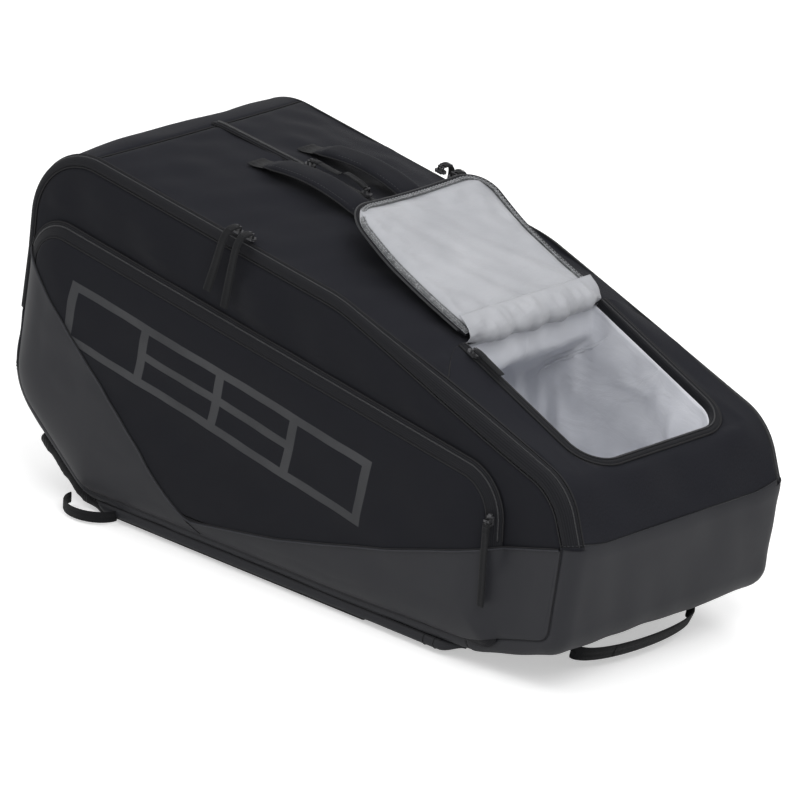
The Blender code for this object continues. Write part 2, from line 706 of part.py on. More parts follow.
def build_grab_handle(sign, name):
    """A padded grip and the two tabs that are sewn to the top."""

    def band(x_from, x_to, count, width, thickness, rise):
        points = []
        for x in spread(x_from, x_to, count):
            y = sign * HANDLE_Y
            points.append((x, y, top_height(x, y) + rise(x) + thickness / 2))
        return webbing_arc(points, (0, 1, 0), width, thickness)

    first, last = HANDLE_GRIP_X

    def arch(x):
        share = (x - first) / (last - first)
        return 0.0045 + 0.0085 * math.sin(math.pi * min(1.0, max(0.0, share)))

    def flat(x):
        return 0.0015

    add(f"{name}_handle_grip", band(first, last, 10, HANDLE_W, HANDLE_T, arch), "webbing")
    add(f"{name}_handle_tab_head", band(HANDLE_HEAD_X, first - 0.003, 5, 0.026, 0.0025, flat), "webbing")
    add(f"{name}_handle_tab_shoe", band(last + 0.003, HANDLE_SHOE_X, 6, 0.026, 0.0025, flat), "webbing")


def build_end_handle():
    """A webbing handle that hangs from the rising underside of the shoe end."""
    half_span, reach, drop = 0.086, 0.024, 0.0055
    pivot = Vector((0.322, 0.006, 0.0225))
    points = []
    for k in range(15):
        angle = math.pi * k / 14
        run = math.sin(angle) ** 0.8
        points.append((pivot.x + reach * run, pivot.y - half_span * math.cos(angle), pivot.z - drop * run))
    add("end_handle", webbing_arc(points, (0.5, 0, 1), 0.018, 0.003), "webbing", origin=pivot)


def build_corner_loop(sign, name):
    """A short webbing loop that stands out from the seam of the back panel at the head end."""
    points = []
    for k in range(11):
        angle = math.pi * k / 10
        points.append((-0.289 - 0.034 * math.cos(angle), sign * (0.1520 + 0.028 * math.sin(angle)), 0.0072))
    add(f"{name}_corner_loop", webbing_arc(points, (0, 0, 1), 0.0125, 0.002), "webbing")


def build_strap(sign, name):
    """A shoulder strap lying in the back panel's recess: pad, ladder lock and webbing."""
    anchor_y = 0.098

    def centre(x):
        share = (x + 0.275) / 0.455
        return sign * (anchor_y - 0.052 * math.sin(math.pi * share))

    z = 0.0048

    def band(x_from, x_to, count, width, thickness):
        points = [(x, centre(x), z) for x in spread(x_from, x_to, count)]
        return webbing_arc(points, (0, 1, 0), width, thickness)

    origin = (0.1885, sign * anchor_y, z)
    add(f"{name}_strap_pad", band(-0.115, 0.178, 16, 0.056, 0.0070), "mesh_pad", origin=origin)
    y = centre(-0.135)
    lock = box((-0.145, y - 0.015, z - 0.0030), (-0.1250, y + 0.015, z + 0.0030))
    add(f"{name}_strap_ladder_lock", lock, "hard_plastic", origin=origin)
    add(f"{name}_strap_webbing", band(-0.275, -0.1510, 9, 0.025, 0.0025), "webbing", origin=origin)


def main():
    clear_scene()
    build_gusset_panels()
    build_back_panel()
    for sign, name in ((-1, "near"), (1, "far")):
        build_side(sign, name)
        build_main_sliders(sign, name)
        build_pocket_slider(sign, name)
        build_grab_handle(sign, name)
        build_corner_loop(sign, name)
        build_strap(sign, name)
    build_dividers()
    build_shoe_compartment()
    build_centre_zip()
    build_shoe_slider()
    build_end_handle()


main()
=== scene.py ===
"""Looks of the racket tournament bag: sewn panels, zips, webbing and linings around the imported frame.
Metres, +Z up. +X runs to the shoe end, -Y is the near side."""

import json
import math

import bmesh
import bpy
import numpy as np
from mathutils import Matrix, Vector


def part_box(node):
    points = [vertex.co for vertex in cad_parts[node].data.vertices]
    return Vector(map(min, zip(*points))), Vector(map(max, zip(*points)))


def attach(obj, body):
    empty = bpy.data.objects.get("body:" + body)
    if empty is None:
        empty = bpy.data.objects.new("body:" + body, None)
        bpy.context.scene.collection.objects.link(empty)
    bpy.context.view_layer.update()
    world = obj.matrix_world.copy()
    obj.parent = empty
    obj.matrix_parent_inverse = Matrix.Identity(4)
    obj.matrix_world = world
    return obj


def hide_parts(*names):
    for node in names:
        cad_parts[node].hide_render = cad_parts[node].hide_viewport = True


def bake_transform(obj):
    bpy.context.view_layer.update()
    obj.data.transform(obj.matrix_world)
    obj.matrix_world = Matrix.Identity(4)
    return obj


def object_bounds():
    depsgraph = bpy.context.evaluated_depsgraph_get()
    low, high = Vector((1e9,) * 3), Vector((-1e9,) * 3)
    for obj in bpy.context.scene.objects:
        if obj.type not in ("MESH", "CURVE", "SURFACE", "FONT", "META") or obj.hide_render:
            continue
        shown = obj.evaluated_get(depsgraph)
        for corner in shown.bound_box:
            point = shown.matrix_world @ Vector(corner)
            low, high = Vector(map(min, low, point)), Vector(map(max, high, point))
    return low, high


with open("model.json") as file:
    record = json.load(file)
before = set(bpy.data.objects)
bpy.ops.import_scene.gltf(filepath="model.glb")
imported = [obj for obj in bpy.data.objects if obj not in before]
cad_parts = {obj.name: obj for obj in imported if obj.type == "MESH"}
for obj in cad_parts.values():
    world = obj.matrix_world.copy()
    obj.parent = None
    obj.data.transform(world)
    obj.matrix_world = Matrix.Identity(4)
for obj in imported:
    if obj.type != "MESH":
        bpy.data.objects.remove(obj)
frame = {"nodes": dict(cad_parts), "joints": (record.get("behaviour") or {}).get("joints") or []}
CAD_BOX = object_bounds()

# ---------------------------------------------------------------- sizes, in metres

BOTH_SIDES = ((-1, "near"), (1, "far"))
HALF_WIDTH = 0.156  # outer face of a side panel
GUSSET_HALF = 0.1501
FLAT_HALF_WIDTH = 0.109
ARC_Q, LINE_Q = 6.0, 4.0  # index length of a corner's arc, and of the straight after it
CORNER_Q = ARC_Q + LINE_Q
# Corners of the bag's outline at a side seam, and on the middle plane: x, z, fillet radius.
SIDE_CORNERS = [
    (0.250, 0.0145, 0.15), (-0.305, 0.0145, 0.05), (-0.418, 0.107, 0.07), (-0.400, 0.262, 0.10),
    (-0.391, 0.3950, 0.086), (0.0525, 0.3337, 0.20), (0.200, 0.2837, 0.30), (0.366, 0.2300, 0.075),
    (0.3885, 0.165, 0.04), (0.374, 0.048, 0.035),
]
MID_CORNERS = [
    (0.250, 0.0145, 0.15), (-0.305, 0.0145, 0.05), (-0.418, 0.107, 0.07), (-0.404, 0.262, 0.10),
    (-0.398, 0.4100, 0.125), (-0.045, 0.3730, 0.20), (0.171, 0.3100, 0.04), (0.369, 0.2250, 0.03),
    (0.389, 0.158, 0.04), (0.375, 0.048, 0.035),
]
POCKET_CORNERS = [
    (0.292, 0.030, 0.02), (-0.295, 0.030, 0.04), (-0.394, 0.125, 0.05), (-0.386, 0.3140, 0.050),
    (0.100, 0.2440, 0.30), (0.292, 0.2160, 0.055),
]
POCKET_BULGE = 0.0165
POCKET_BAND = 0.0155  # width of the pocket's zip band
BOOT_SEAM_Z = 0.1655
SHEET_T = 0.0022
SEAM_GAP = 0.0007

HINGE = Vector((0.171, 0, 0.310))
FLAP_SLOPE = math.atan2(0.3100 - 0.2250, 0.369 - 0.171)
FLAP_LENGTH = 0.194
FLAP_HALF_WIDTH = 0.0965
FLAP_RADIUS = 0.032
FLAP_AXIS_RISE = 0.0045
FLAP_BODY = 0.0042
FLAP_OPEN = math.radians(179.0)

HANDLE_Y = 0.036
GRIP_X = (-0.166, -0.030)
GRIP_TAPER = 0.016  # length over which a grip thins to its ends
ROLL_X = (-0.300, 0.236)  # ends of the padded roll along the back panel's edge
ROLL_RADIUS = 0.0063
STRAP_X = (-0.275, 0.180)
STRAP_PAD_X = (-0.108, 0.174)

# ---------------------------------------------------------------- outlines and the bag's skin


def fillets(corners):
    """Start, end, centre and turn of each corner's arc, as arrays."""
    rows = []
    count = len(corners)
    for i, (x, z, radius) in enumerate(corners):
        here = Vector((x, z))
        back = (Vector(corners[i - 1][:2]) - here).normalized()
        on = (Vector(corners[(i + 1) % count][:2]) - here).normalized()
        half = back.angle(on) / 2
        centre = here + (back + on).normalized() * (radius / math.sin(half))
        reach = radius / math.tan(half)
        start, end = here + back * reach, here + on * reach
        rows.append((*start, *end, *centre, (start - centre).angle_signed(end - centre)))
    return np.array(rows)


def outline(table, q):
    """Points (x, z) at real indices q round a filleted outline, as CORNER_Q to a corner."""
    q = np.asarray(q, float)
    block = np.floor(q / CORNER_Q).astype(int)
    local = q - block * CORNER_Q
    row = table[block % len(table)]
    after = table[(block + 1) % len(table)]
    a = row[..., 0:2] - row[..., 4:6]
    angle = -row[..., 6] * np.clip(local / ARC_Q, 0, 1)
    c, s = np.cos(angle), np.sin(angle)
    arc = row[..., 4:6] + np.stack([a[..., 0] * c - a[..., 1] * s, a[..., 0] * s + a[..., 1] * c], -1)
    share = np.clip((local - ARC_Q) / LINE_Q, 0, 1)[..., None]
    line = row[..., 2:4] * (1 - share) + after[..., 0:2] * share
    return np.where((local <= ARC_Q)[..., None], arc, line)


SIDE = fillets(SIDE_CORNERS)
MID = fillets(MID_CORNERS)
POCKET = fillets(POCKET_CORNERS)
FULL_TURN = CORNER_Q * len(SIDE)


def smooth(t):
    t = np.clip(t, 0, 1)
    return t * t * (3 - 2 * t)


def unit(vectors):
    return vectors / np.linalg.norm(vectors, axis=-1, keepdims=True)


def inward(table, q):
    """Unit vectors (x, z) that point into the outline."""
    step = outline(table, np.asarray(q) + 0.02) - outline(table, np.asarray(q) - 0.02)
    step = unit(step)
    return np.stack([step[..., 1], -step[..., 0]], -1)


def gusset(q, y):
    side, mid = outline(SIDE, q), outline(MID, q)
    round_share = np.minimum(1, np.abs(y) / GUSSET_HALF) ** 2.2
    flat_share = np.clip((np.abs(y) - FLAT_HALF_WIDTH) / (GUSSET_HALF - FLAT_HALF_WIDTH), 0, 1) ** 1.4
    flatness = smooth((mid[..., 0] + 0.08) / 0.23)
    share = (round_share * (1 - flatness) + flat_share * flatness)[..., None]
    p = mid * (1 - share) + side * share
    return np.stack([p[..., 0], y + 0 * p[..., 0], p[..., 1]], -1)


def edge_radius(q):
    """How far the rounding between the gusset and a side panel reaches."""
    x = outline(SIDE, q)[..., 0]
    return 0.0115 + 0.0075 * smooth((x - 0.05) / 0.28)


def skin(q, k):
    """The bag's skin. |k| up to 1 crosses the gusset; from 1 to 2 it rounds the edge to the side's seam."""
    q, k = np.broadcast_arrays(np.asarray(q, float), np.asarray(k, float))
    radius = edge_radius(q)
    sign = np.where(k < 0, -1.0, 1.0)
    y1 = HALF_WIDTH - radius
    flat = gusset(q, np.clip(k, -1, 1) * y1)
    t = np.clip(np.abs(k) - 1, 0, 1)[..., None]
    corner = outline(SIDE, q)
    seam = corner + inward(SIDE, q) * radius[..., None]
    corner = np.stack([corner[..., 0], sign * HALF_WIDTH, corner[..., 1]], -1)
    seam = np.stack([seam[..., 0], sign * HALF_WIDTH, seam[..., 1]], -1)
    bend = flat * (1 - t) ** 2 + corner * 2 * t * (1 - t) + seam * t * t
    return np.where((np.abs(k) <= 1)[..., None], flat, bend)


def first_index(table, corner, test):
    q = np.arange(corner * CORNER_Q, (corner + 2) * CORNER_Q, 0.01)
    points = outline(table, q)
    return float(q[np.argmax(test(points))])


Q_BACK_END = ARC_Q / 2
Q_CHAMFER_TOP = 2 * CORNER_Q + ARC_Q / 2 + 1.5
Q_HEAD_TOP = 4 * CORNER_Q + ARC_Q / 2 + 2.6
Q_HINGE = first_index(MID, 6, lambda p: p[:, 0] >= 0.1725)
Q_BOOT = first_index(MID, 8, lambda p: p[:, 1] <= BOOT_SEAM_Z)
Q_ZIP_START = 2 * CORNER_Q + 7.5
Q_ZIP_END = first_index(SIDE, 8, lambda p: p[:, 1] <= BOOT_SEAM_Z + 0.002)
ZIP_K = 1.16  # the main zip's upper seam on the rounded edge
SEAM_K = 1.995


def arc_length(points):
    steps = np.linalg.norm(np.diff(points, axis=0), axis=-1)
    return np.concatenate([np.zeros((1,) + steps.shape[1:]), np.cumsum(steps, axis=0)])


def ripple(p, size, seed, count=7):
    """A smooth, seeded field between about -1 and 1, with waves about size long."""
    rng = np.random.default_rng(seed)
    total = np.zeros(p.shape[:-1])
    for _ in range(count):
        wave = rng.normal(size=3)
        wave *= 2 * math.pi / (size * rng.uniform(0.6, 1.6)) / np.linalg.norm(wave)
        total += np.sin(p @ wave + rng.uniform(0, 2 * math.pi))
    return total / math.sqrt(count)


def normals_of(p):
    """Unit normals of a grid of points, by central differences."""
    du = np.gradient(p, axis=0)
    dv = np.gradient(p, axis=1)
    n = np.cross(du, dv)
    return n / np.maximum(np.linalg.norm(n, axis=-1, keepdims=True), 1e-12)


# ---------------------------------------------------------------- mesh makers


def object_of(name, verts, faces, uvs, material, smooth_shaded=True):
    """A mesh object. uvs is one (u, v) in metres per vertex."""
    mesh = bpy.data.meshes.new(name)
    mesh.from_pydata([tuple(v) for v in verts], [], faces)
    layer = mesh.uv_layers.new(name="Metres")
    index = np.zeros(len(mesh.loops), np.int32)
    mesh.loops.foreach_get("vertex_index", index)
    layer.data.foreach_set("uv", np.asarray(uvs, np.float32)[index].ravel())
    if smooth_shaded:
        mesh.shade_smooth()
    mesh.materials.append(material)
    made = bpy.data.objects.new(name, mesh)
    bpy.context.scene.collection.objects.link(made)
    return made


def grid_faces(rows, columns, wrap=False, start=0):
    faces = []
    for i in range(rows - 1):
        for j in range(columns if wrap else columns - 1):
            a = start + i * columns + j
            b = start + i * columns + (j + 1) % columns
            faces.append((a, b, b + columns, a + columns))
    return faces


def sheet(name, points, uvs, material, out=None, thickness=SHEET_T, lining=None, wrap=False, cap=False):
    """A cloth sheet from a grid of points. It is thickened inwards, with the lining on its inner face."""
    rows, columns = points.shape[:2]
    verts = points.reshape(-1, 3)
    flat_uvs = uvs.reshape(-1, 2)
    faces = grid_faces(rows, columns, wrap)
    if cap:
        middle = len(verts)
        verts = np.vstack([verts, points[-1].mean(axis=0)])
        flat_uvs = np.vstack([flat_uvs, uvs[-1].mean(axis=0)])
        base = (rows - 1) * columns
        faces += [(base + j, base + (j + 1) % columns, middle) for j in range(columns)]
    made = object_of(name, verts, faces, flat_uvs, material)
    if out is not None:
        normal = np.zeros(len(made.data.polygons) * 3, np.float32)
        centre = np.zeros(len(made.data.polygons) * 3, np.float32)
        area = np.zeros(len(made.data.polygons), np.float32)
        made.data.polygons.foreach_get("normal", normal)
        made.data.polygons.foreach_get("center", centre)
        made.data.polygons.foreach_get("area", area)
        if (out(centre.reshape(-1, 3)) * normal.reshape(-1, 3)).sum(-1) @ area < 0:
            made.data.flip_normals()
    if thickness:
        if lining:
            made.data.materials.append(lining)
        solid = made.modifiers.new("Thickness", "SOLIDIFY")
        solid.thickness = thickness
        solid.offset = -1
        solid.use_even_offset = False
        if lining:
            solid.material_offset = 1
    return made


def stand_in(piece, body, node):
    """Fixes a piece to a body and shows it in place of a CAD node."""
    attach(piece, body)
    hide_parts(node)


def from_middle(centre):
    return centre - np.array([0.0, 0.0, 0.18])


def sideways(sign):
    return lambda centre: np.tile([0.0, sign, 0.0], (len(centre), 1))


def end_faces(rows, sides):
    """Faces that close both ends of a wrapped grid."""
    return [tuple(range(sides))[::-1], tuple((rows - 1) * sides + j for j in range(sides))]


def tube(name, path, radius, material, sides=10, closed=False, flatten=1.0, bead=None):
    """A round cord along a path. bead(i) scales the radius at point i."""
    path = np.asarray(path, float)
    count = len(path)
    step = np.roll(path, -1, 0) - np.roll(path, 1, 0)
    if not closed:
        step[0], step[-1] = path[1] - path[0], path[-1] - path[-2]
    step = unit(step)
    normal = np.zeros_like(step)
    guide = np.array([0.0, 0.0, 1.0]) if abs(step[0][2]) < 0.8 else np.array([0.0, 1.0, 0.0])
    for i in range(count):
        normal[i] = guide - step[i] * (guide @ step[i])
        normal[i] /= np.linalg.norm(normal[i])
        guide = normal[i]
    side = np.cross(step, normal)
    angle = np.linspace(0, 2 * math.pi, sides, endpoint=False)
    scale = np.ones(count) if bead is None else np.array([bead(i) for i in range(count)])
    c, s = np.cos(angle)[None, :, None], np.sin(angle)[None, :, None]
    ring = normal[:, None] * c + side[:, None] * s * flatten
    points = path[:, None] + ring * (radius * scale)[:, None, None]
    length = arc_length(path)
    uvs = np.stack(np.broadcast_arrays(length[:, None], (angle * radius)[None, :]), -1)
    faces = grid_faces(count, sides, wrap=True)
    if closed:
        base = (count - 1) * sides
        faces += [(base + j, base + (j + 1) % sides, (j + 1) % sides, j) for j in range(sides)]
    else:
        faces += end_faces(count, sides)
    return object_of(name, points.reshape(-1, 3), faces, uvs.reshape(-1, 2), material)


def stitches(name, path, material, normal_of, length=0.0030, gap=0.0012, radius=0.00038, rise=0.0003):
    """A row of thread stitches lying along a path on a surface."""
    path = np.asarray(path, float)
    run = arc_length(path)
    total = run[-1]
    count = max(2, int(total / (length + gap)))
    centres = (np.arange(count) + 0.5) * total / count
    sides = 6
    angle = np.linspace(0, 2 * math.pi, sides, endpoint=False)
    verts, faces, uvs = [], [], []
    for centre in centres:
        ends = [np.array([np.interp(centre + o * length / 2, run, path[:, c]) for c in range(3)])
                for o in (-1, 1)]
        along = (ends[1] - ends[0]) / max(np.linalg.norm(ends[1] - ends[0]), 1e-9)
        up = normal_of(ends[0])
        up = up - along * (up @ along)
        up /= max(np.linalg.norm(up), 1e-9)
        across = np.cross(along, up)
        base = len(verts)
        for share, size, lift in ((0.0, 0.35, -0.9), (0.2, 1.0, 0.4), (0.8, 1.0, 0.4), (1.0, 0.35, -0.9)):
            middle = ends[0] * (1 - share) + ends[1] * share + up * (rise + lift * radius)
            for a in angle:
                verts.append(middle + (up * math.cos(a) * 0.7 + across * math.sin(a)) * radius * size)
                uvs.append((share * length, a * radius))
        for ring in range(3):
            for j in range(sides):
                a, b = base + ring * sides + j, base + ring * sides + (j + 1) % sides
                faces.append((a, b, b + sides, a + sides))
    return object_of(name, verts, faces, uvs, material)


def curve_through(points, count):
    """Points evenly along a smooth curve through the given ones."""
    points = np.asarray(points, float)
    ghost = np.vstack([2 * points[0] - points[1], points, 2 * points[-1] - points[-2]])
    rows = []
    for i in range(len(points) - 1):
        a, b, c, d = ghost[i:i + 4]
        for t in np.linspace(0, 1, 16, endpoint=False):
            rows.append(0.5 * (2 * b + (c - a) * t + (2 * a - 5 * b + 4 * c - d) * t * t
                               + (3 * b - a - 3 * c + d) * t ** 3))
    rows.append(points[-1])
    rows = np.array(rows)
    run = arc_length(rows)
    wanted = np.linspace(0, run[-1], count)
    return np.column_stack([np.interp(wanted, run, rows[:, c]) for c in range(rows.shape[1])])


def ribbon(name, path, across, width, thickness, material):
    """Flat webbing along a path. across gives the unit direction of its width at each point."""
    path = np.asarray(path, float)
    across = np.asarray(across, float)
    step = np.gradient(path, axis=0)
    step = unit(step)
    across = across - step * (across * step).sum(1, keepdims=True)
    across = unit(across)
    up = np.cross(step, across)
    width = np.broadcast_to(width, len(path))
    thickness = np.broadcast_to(thickness, len(path))
    half = np.linspace(-1, 1, 9)
    profile = [(h, 1.0) for h in half] + [(h, -1.0) for h in half[::-1]]
    rings = []
    for h, v in profile:
        lip = 1 - 0.75 * np.clip((abs(h) - 0.9) / 0.1, 0, 1)
        rings.append(path + across * (h * width / 2)[:, None] + up * (v * lip * thickness / 2)[:, None])
    points = np.stack(rings, 1)
    length = arc_length(path)
    v = np.array([h for h, _ in profile])
    uvs = np.stack(np.broadcast_arrays(length[:, None], v[None] * width[:, None] / 2), -1)
    sides = len(profile)
    faces = grid_faces(len(path), sides, wrap=True) + end_faces(len(path), sides)
    made = object_of(name, points.reshape(-1, 3), faces, uvs.reshape(-1, 2), material)
    made.data.set_sharp_from_angle(angle=math.radians(50))
    return made


# ---------------------------------------------------------------- materials


def scaled(color, tone):
    return tuple(tone * channel for channel in color)


class Nodes:
    """A material's node tree, with short calls for the nodes the fabrics need."""

    def __init__(self, name, rigid=False):
        self.material = bpy.data.materials.new(name)
        self.material.use_nodes = True
        self.tree = self.material.node_tree
        self.shader = self.tree.nodes["Principled BSDF"]
        if rigid:
            self.uv = self.tree.nodes.new("ShaderNodeTexCoord").outputs["Object"]
        else:
            coordinates = self.tree.nodes.new("ShaderNodeUVMap")
            coordinates.uv_map = "Metres"
            self.uv = coordinates.outputs[0]

    @classmethod
    def reopened(cls, material):
        """More nodes for a material that is already finished."""
        nodes = cls.__new__(cls)
        nodes.material, nodes.tree = material, material.node_tree
        nodes.shader = nodes.tree.nodes["Principled BSDF"]
        nodes.uv = next(node for node in nodes.tree.nodes if node.type == "UVMAP").outputs[0]
        return nodes

    def put(self, socket, value):
        if isinstance(value, bpy.types.NodeSocket):
            self.tree.links.new(value, socket)
        else:
            socket.default_value = value

    def math(self, operation, *values, clamp=False):
        node = self.tree.nodes.new("ShaderNodeMath")
        node.operation = operation
        node.use_clamp = clamp
        for socket, value in zip(node.inputs, values):
            self.put(socket, value)
        return node.outputs[0]

    def add(self, a, b):
        return self.math("ADD", a, b)

    def minus(self, a, b, clamp=False):
        return self.math("SUBTRACT", a, b, clamp=clamp)

    def times(self, a, b):
        return self.math("MULTIPLY", a, b)

    def sine(self, angle):
        return self.math("SINE", angle)

    def noise(self, scale, detail=2.0, roughness=0.5, stretch=(1, 1, 1), vector=None, distortion=0.0):
        mapping = self.tree.nodes.new("ShaderNodeMapping")
        self.put(mapping.inputs["Vector"], vector or self.uv)
        mapping.inputs["Scale"].default_value = stretch
        node = self.tree.nodes.new("ShaderNodeTexNoise")
        self.put(node.inputs["Vector"], mapping.outputs[0])
        node.inputs["Scale"].default_value = scale
        node.inputs["Detail"].default_value = detail
        node.inputs["Roughness"].default_value = roughness
        node.inputs["Distortion"].default_value = distortion
        return node.outputs["Fac"]

    def cells(self, scale, feature="F1", randomness=1.0, stretch=(1, 1, 1)):
        mapping = self.tree.nodes.new("ShaderNodeMapping")
        self.put(mapping.inputs["Vector"], self.uv)
        mapping.inputs["Scale"].default_value = stretch
        node = self.tree.nodes.new("ShaderNodeTexVoronoi")
        node.feature = feature
        self.put(node.inputs["Vector"], mapping.outputs[0])
        node.inputs["Scale"].default_value = scale
        node.inputs["Randomness"].default_value = randomness
        return node.outputs["Distance"]

    def axes(self):
        node = self.tree.nodes.new("ShaderNodeSeparateXYZ")
        self.put(node.inputs[0], self.uv)
        return node.outputs[0], node.outputs[1]

    def remap(self, value, low, high, to_low=0.0, to_high=1.0, soft=False):
        node = self.tree.nodes.new("ShaderNodeMapRange")
        node.interpolation_type = "SMOOTHSTEP" if soft else "LINEAR"
        for socket, v in zip(node.inputs, (value, low, high, to_low, to_high)):
            self.put(socket, v)
        return node.outputs[0]

    def mix(self, share, a, b):
        node = self.tree.nodes.new("ShaderNodeMix")
        node.data_type = "RGBA"
        self.put(node.inputs[0], share)
        for socket, value in ((node.inputs[6], a), (node.inputs[7], b)):
            self.put(socket, (*value, 1.0) if isinstance(value, tuple) else value)
        return node.outputs[2]

    def weave(self, pitch, over=1.0):
        """Height of a plain weave of the given thread pitch."""
        u, v = self.axes()
        turn = 2 * math.pi / pitch
        su = self.sine(self.times(u, turn))
        sv = self.sine(self.times(v, turn * over))
        return self.times(su, sv)

    def bump(self, height, strength, distance, under=None):
        node = self.tree.nodes.new("ShaderNodeBump")
        node.inputs["Strength"].default_value = strength
        node.inputs["Distance"].default_value = distance
        self.put(node.inputs["Height"], height)
        if under is not None:
            self.put(node.inputs["Normal"], under)
        return node.outputs[0]

    def finish(self, color, roughness, normal, metallic=0.0, sheen=0.0, coat=0.0, specular=0.5):
        inputs = self.shader.inputs
        self.put(inputs["Base Color"], (*color, 1.0) if isinstance(color, tuple) else color)
        self.put(inputs["Roughness"], roughness)
        self.put(inputs["Metallic"], metallic)
        inputs["Specular IOR Level"].default_value = specular
        inputs["Sheen Weight"].default_value = sheen
        inputs["Sheen Roughness"].default_value = 0.45
        inputs["Coat Weight"].default_value = coat
        self.put(inputs["Normal"], normal)
        return self.material


def black_fabric(name="Black_fabric", tone=1.0):
    """Matte polyester: a fine plain weave, slubs in the yarn and cloudy wear."""
    n = Nodes(name)
    weave = n.weave(0.0011)
    slub = n.noise(900, detail=2, stretch=(0.25, 1, 1))
    speckle = n.noise(1500, detail=1)
    cloud = n.noise(14, detail=3)
    share = n.remap(speckle, 0.3, 0.7)
    base = n.mix(share, scaled((0.0054, 0.0056, 0.0080), tone), scaled((0.0120, 0.0125, 0.0165), tone))
    color = n.mix(n.remap(cloud, 0.35, 0.75, 0.0, 0.45), base, scaled((0.0140, 0.0145, 0.0185), tone))
    rough = n.remap(cloud, 0.3, 0.7, 0.74, 0.90)
    height = n.add(n.times(weave, 0.5), n.times(slub, 1.2))
    normal = n.bump(height, 0.35, 0.00022, n.bump(n.noise(40, detail=3), 0.12, 0.0012))
    return n.finish(color, rough, normal, sheen=0.04, specular=0.14)


def coated_fabric(name="Grey_coated", tone=1.0):
    """Rubbery coated fabric: smooth, with a very fine pebble and soft highlights."""
    n = Nodes(name)
    pebble = n.cells(1500)
    cloud = n.noise(9, detail=3)
    fine = n.noise(1200, detail=1)
    color = n.mix(n.remap(cloud, 0.3, 0.75), scaled((0.0140, 0.0145, 0.0182), tone),
                  scaled((0.0200, 0.0206, 0.0248), tone))
    color = n.mix(n.remap(fine, 0.35, 0.65, 0.0, 0.25), color, scaled((0.026, 0.0268, 0.0315), tone))
    rough = n.remap(cloud, 0.3, 0.7, 0.44, 0.58)
    normal = n.bump(pebble, 0.16, 0.00025, n.bump(n.noise(30, detail=4), 0.16, 0.0022))
    return n.finish(color, rough, normal, sheen=0.02, specular=0.30)


def lining_fabric(name="Lining", tone=1.0):
    """Thin silver-grey lining with a faint grid weave, satin, slightly see-through folds."""
    n = Nodes(name)
    weave = n.weave(0.0009)
    wrinkle = n.noise(55, detail=5, roughness=0.6, stretch=(1, 0.35, 1), distortion=0.6)
    cloud = n.noise(16, detail=3)
    color = n.mix(n.remap(cloud, 0.3, 0.75), scaled((0.335, 0.342, 0.366), tone),
                  scaled((0.415, 0.422, 0.446), tone))
    normal = n.bump(weave, 0.10, 0.0002, n.bump(wrinkle, 0.35, 0.0035))
    return n.finish(color, n.remap(wrinkle, 0.3, 0.7, 0.34, 0.50), normal, sheen=0.2, specular=0.5)


def binding_mesh(name="Lining_binding"):
    """Crinkled mesh binding: pale threads over a darker ground, bunched along the edge, with painted shade
    in the hollows between the bunches.
    """
    n = Nodes(name)
    holes = n.cells(620, randomness=0.55)
    ground = n.remap(holes, 0.25, 0.50, soft=True)
    bunch = n.noise(150, detail=4, roughness=0.65, stretch=(1, 1, 1), distortion=0.8)
    # The colour follows the bunching: lighter on the bunches and darker between them, as painted shade; the
    # darker ground between the threads is the mesh's own.
    shade = n.times(n.remap(bunch, 0.30, 0.66), n.minus(1.0, n.times(ground, 0.7)))
    color = n.mix(shade, (0.060, 0.062, 0.066), (0.400, 0.410, 0.420))
    height = n.add(n.times(bunch, 1.6), n.times(ground, -0.5))
    return n.finish(color, 0.62, n.bump(height, 0.55, 0.0012), sheen=0.1, specular=0.4)


def inner_lining(name="Inner_lining"):
    """Dark inner face of the panels."""
    n = Nodes(name)
    weave = n.weave(0.0009)
    cloud = n.noise(20, detail=3)
    color = n.mix(n.remap(cloud, 0.3, 0.75), (0.050, 0.051, 0.056), (0.075, 0.076, 0.082))
    return n.finish(color, 0.6, n.bump(weave, 0.2, 0.0002), sheen=0.1, specular=0.4)


def webbing_fabric(name="Webbing", tone=1.0):
    """Black webbing: herringbone ribs across, fuzz along the edges."""
    n = Nodes(name)
    u, v = n.axes()
    ripple_v = n.math("ABSOLUTE", n.minus(n.math("FRACT", n.times(v, 160.0)), 0.5))
    rib = n.sine(n.times(n.add(u, n.times(ripple_v, 0.004)), 2 * math.pi / 0.0016))
    fuzz = n.noise(1800, detail=2)
    shade = n.add(n.times(rib, 0.25), fuzz)
    color = n.mix(n.remap(shade, 0.2, 0.9), scaled((0.0040, 0.0042, 0.0050), tone),
                  scaled((0.0130, 0.0133, 0.0152), tone))
    normal = n.bump(n.add(rib, n.times(fuzz, 0.8)), 0.5, 0.00035)
    return n.finish(color, 0.72, normal, sheen=0.08, specular=0.18)


def zip_tape(name="Zip_tape", tone=1.0):
    """Woven zip tape: fine lengthwise ribs."""
    n = Nodes(name)
    u, v = n.axes()
    rib = n.sine(n.times(v, 2 * math.pi / 0.0017))
    knit = n.sine(n.times(u, 2 * math.pi / 0.0012))
    fuzz = n.noise(1300, detail=2)
    height = n.add(n.add(rib, n.times(knit, 0.4)), fuzz)
    color = n.mix(n.remap(height, -0.6, 1.8), scaled((0.0042, 0.0044, 0.0058), tone),
                  scaled((0.0115, 0.0119, 0.0150), tone))
    return n.finish(color, 0.66, n.bump(height, 0.4, 0.00025), sheen=0.04, specular=0.18)


def coil(name="Zip_coil"):
    """Nylon coil: a tooth every 1.4 mm."""
    n = Nodes(name)
    u, _ = n.axes()
    tooth = n.sine(n.times(u, 2 * math.pi / 0.0014))
    color = n.mix(n.remap(tooth, -0.6, 0.8), (0.008, 0.008, 0.009), (0.060, 0.061, 0.066))
    return n.finish(color, 0.34, n.bump(tooth, 0.7, 0.0005), specular=0.5)


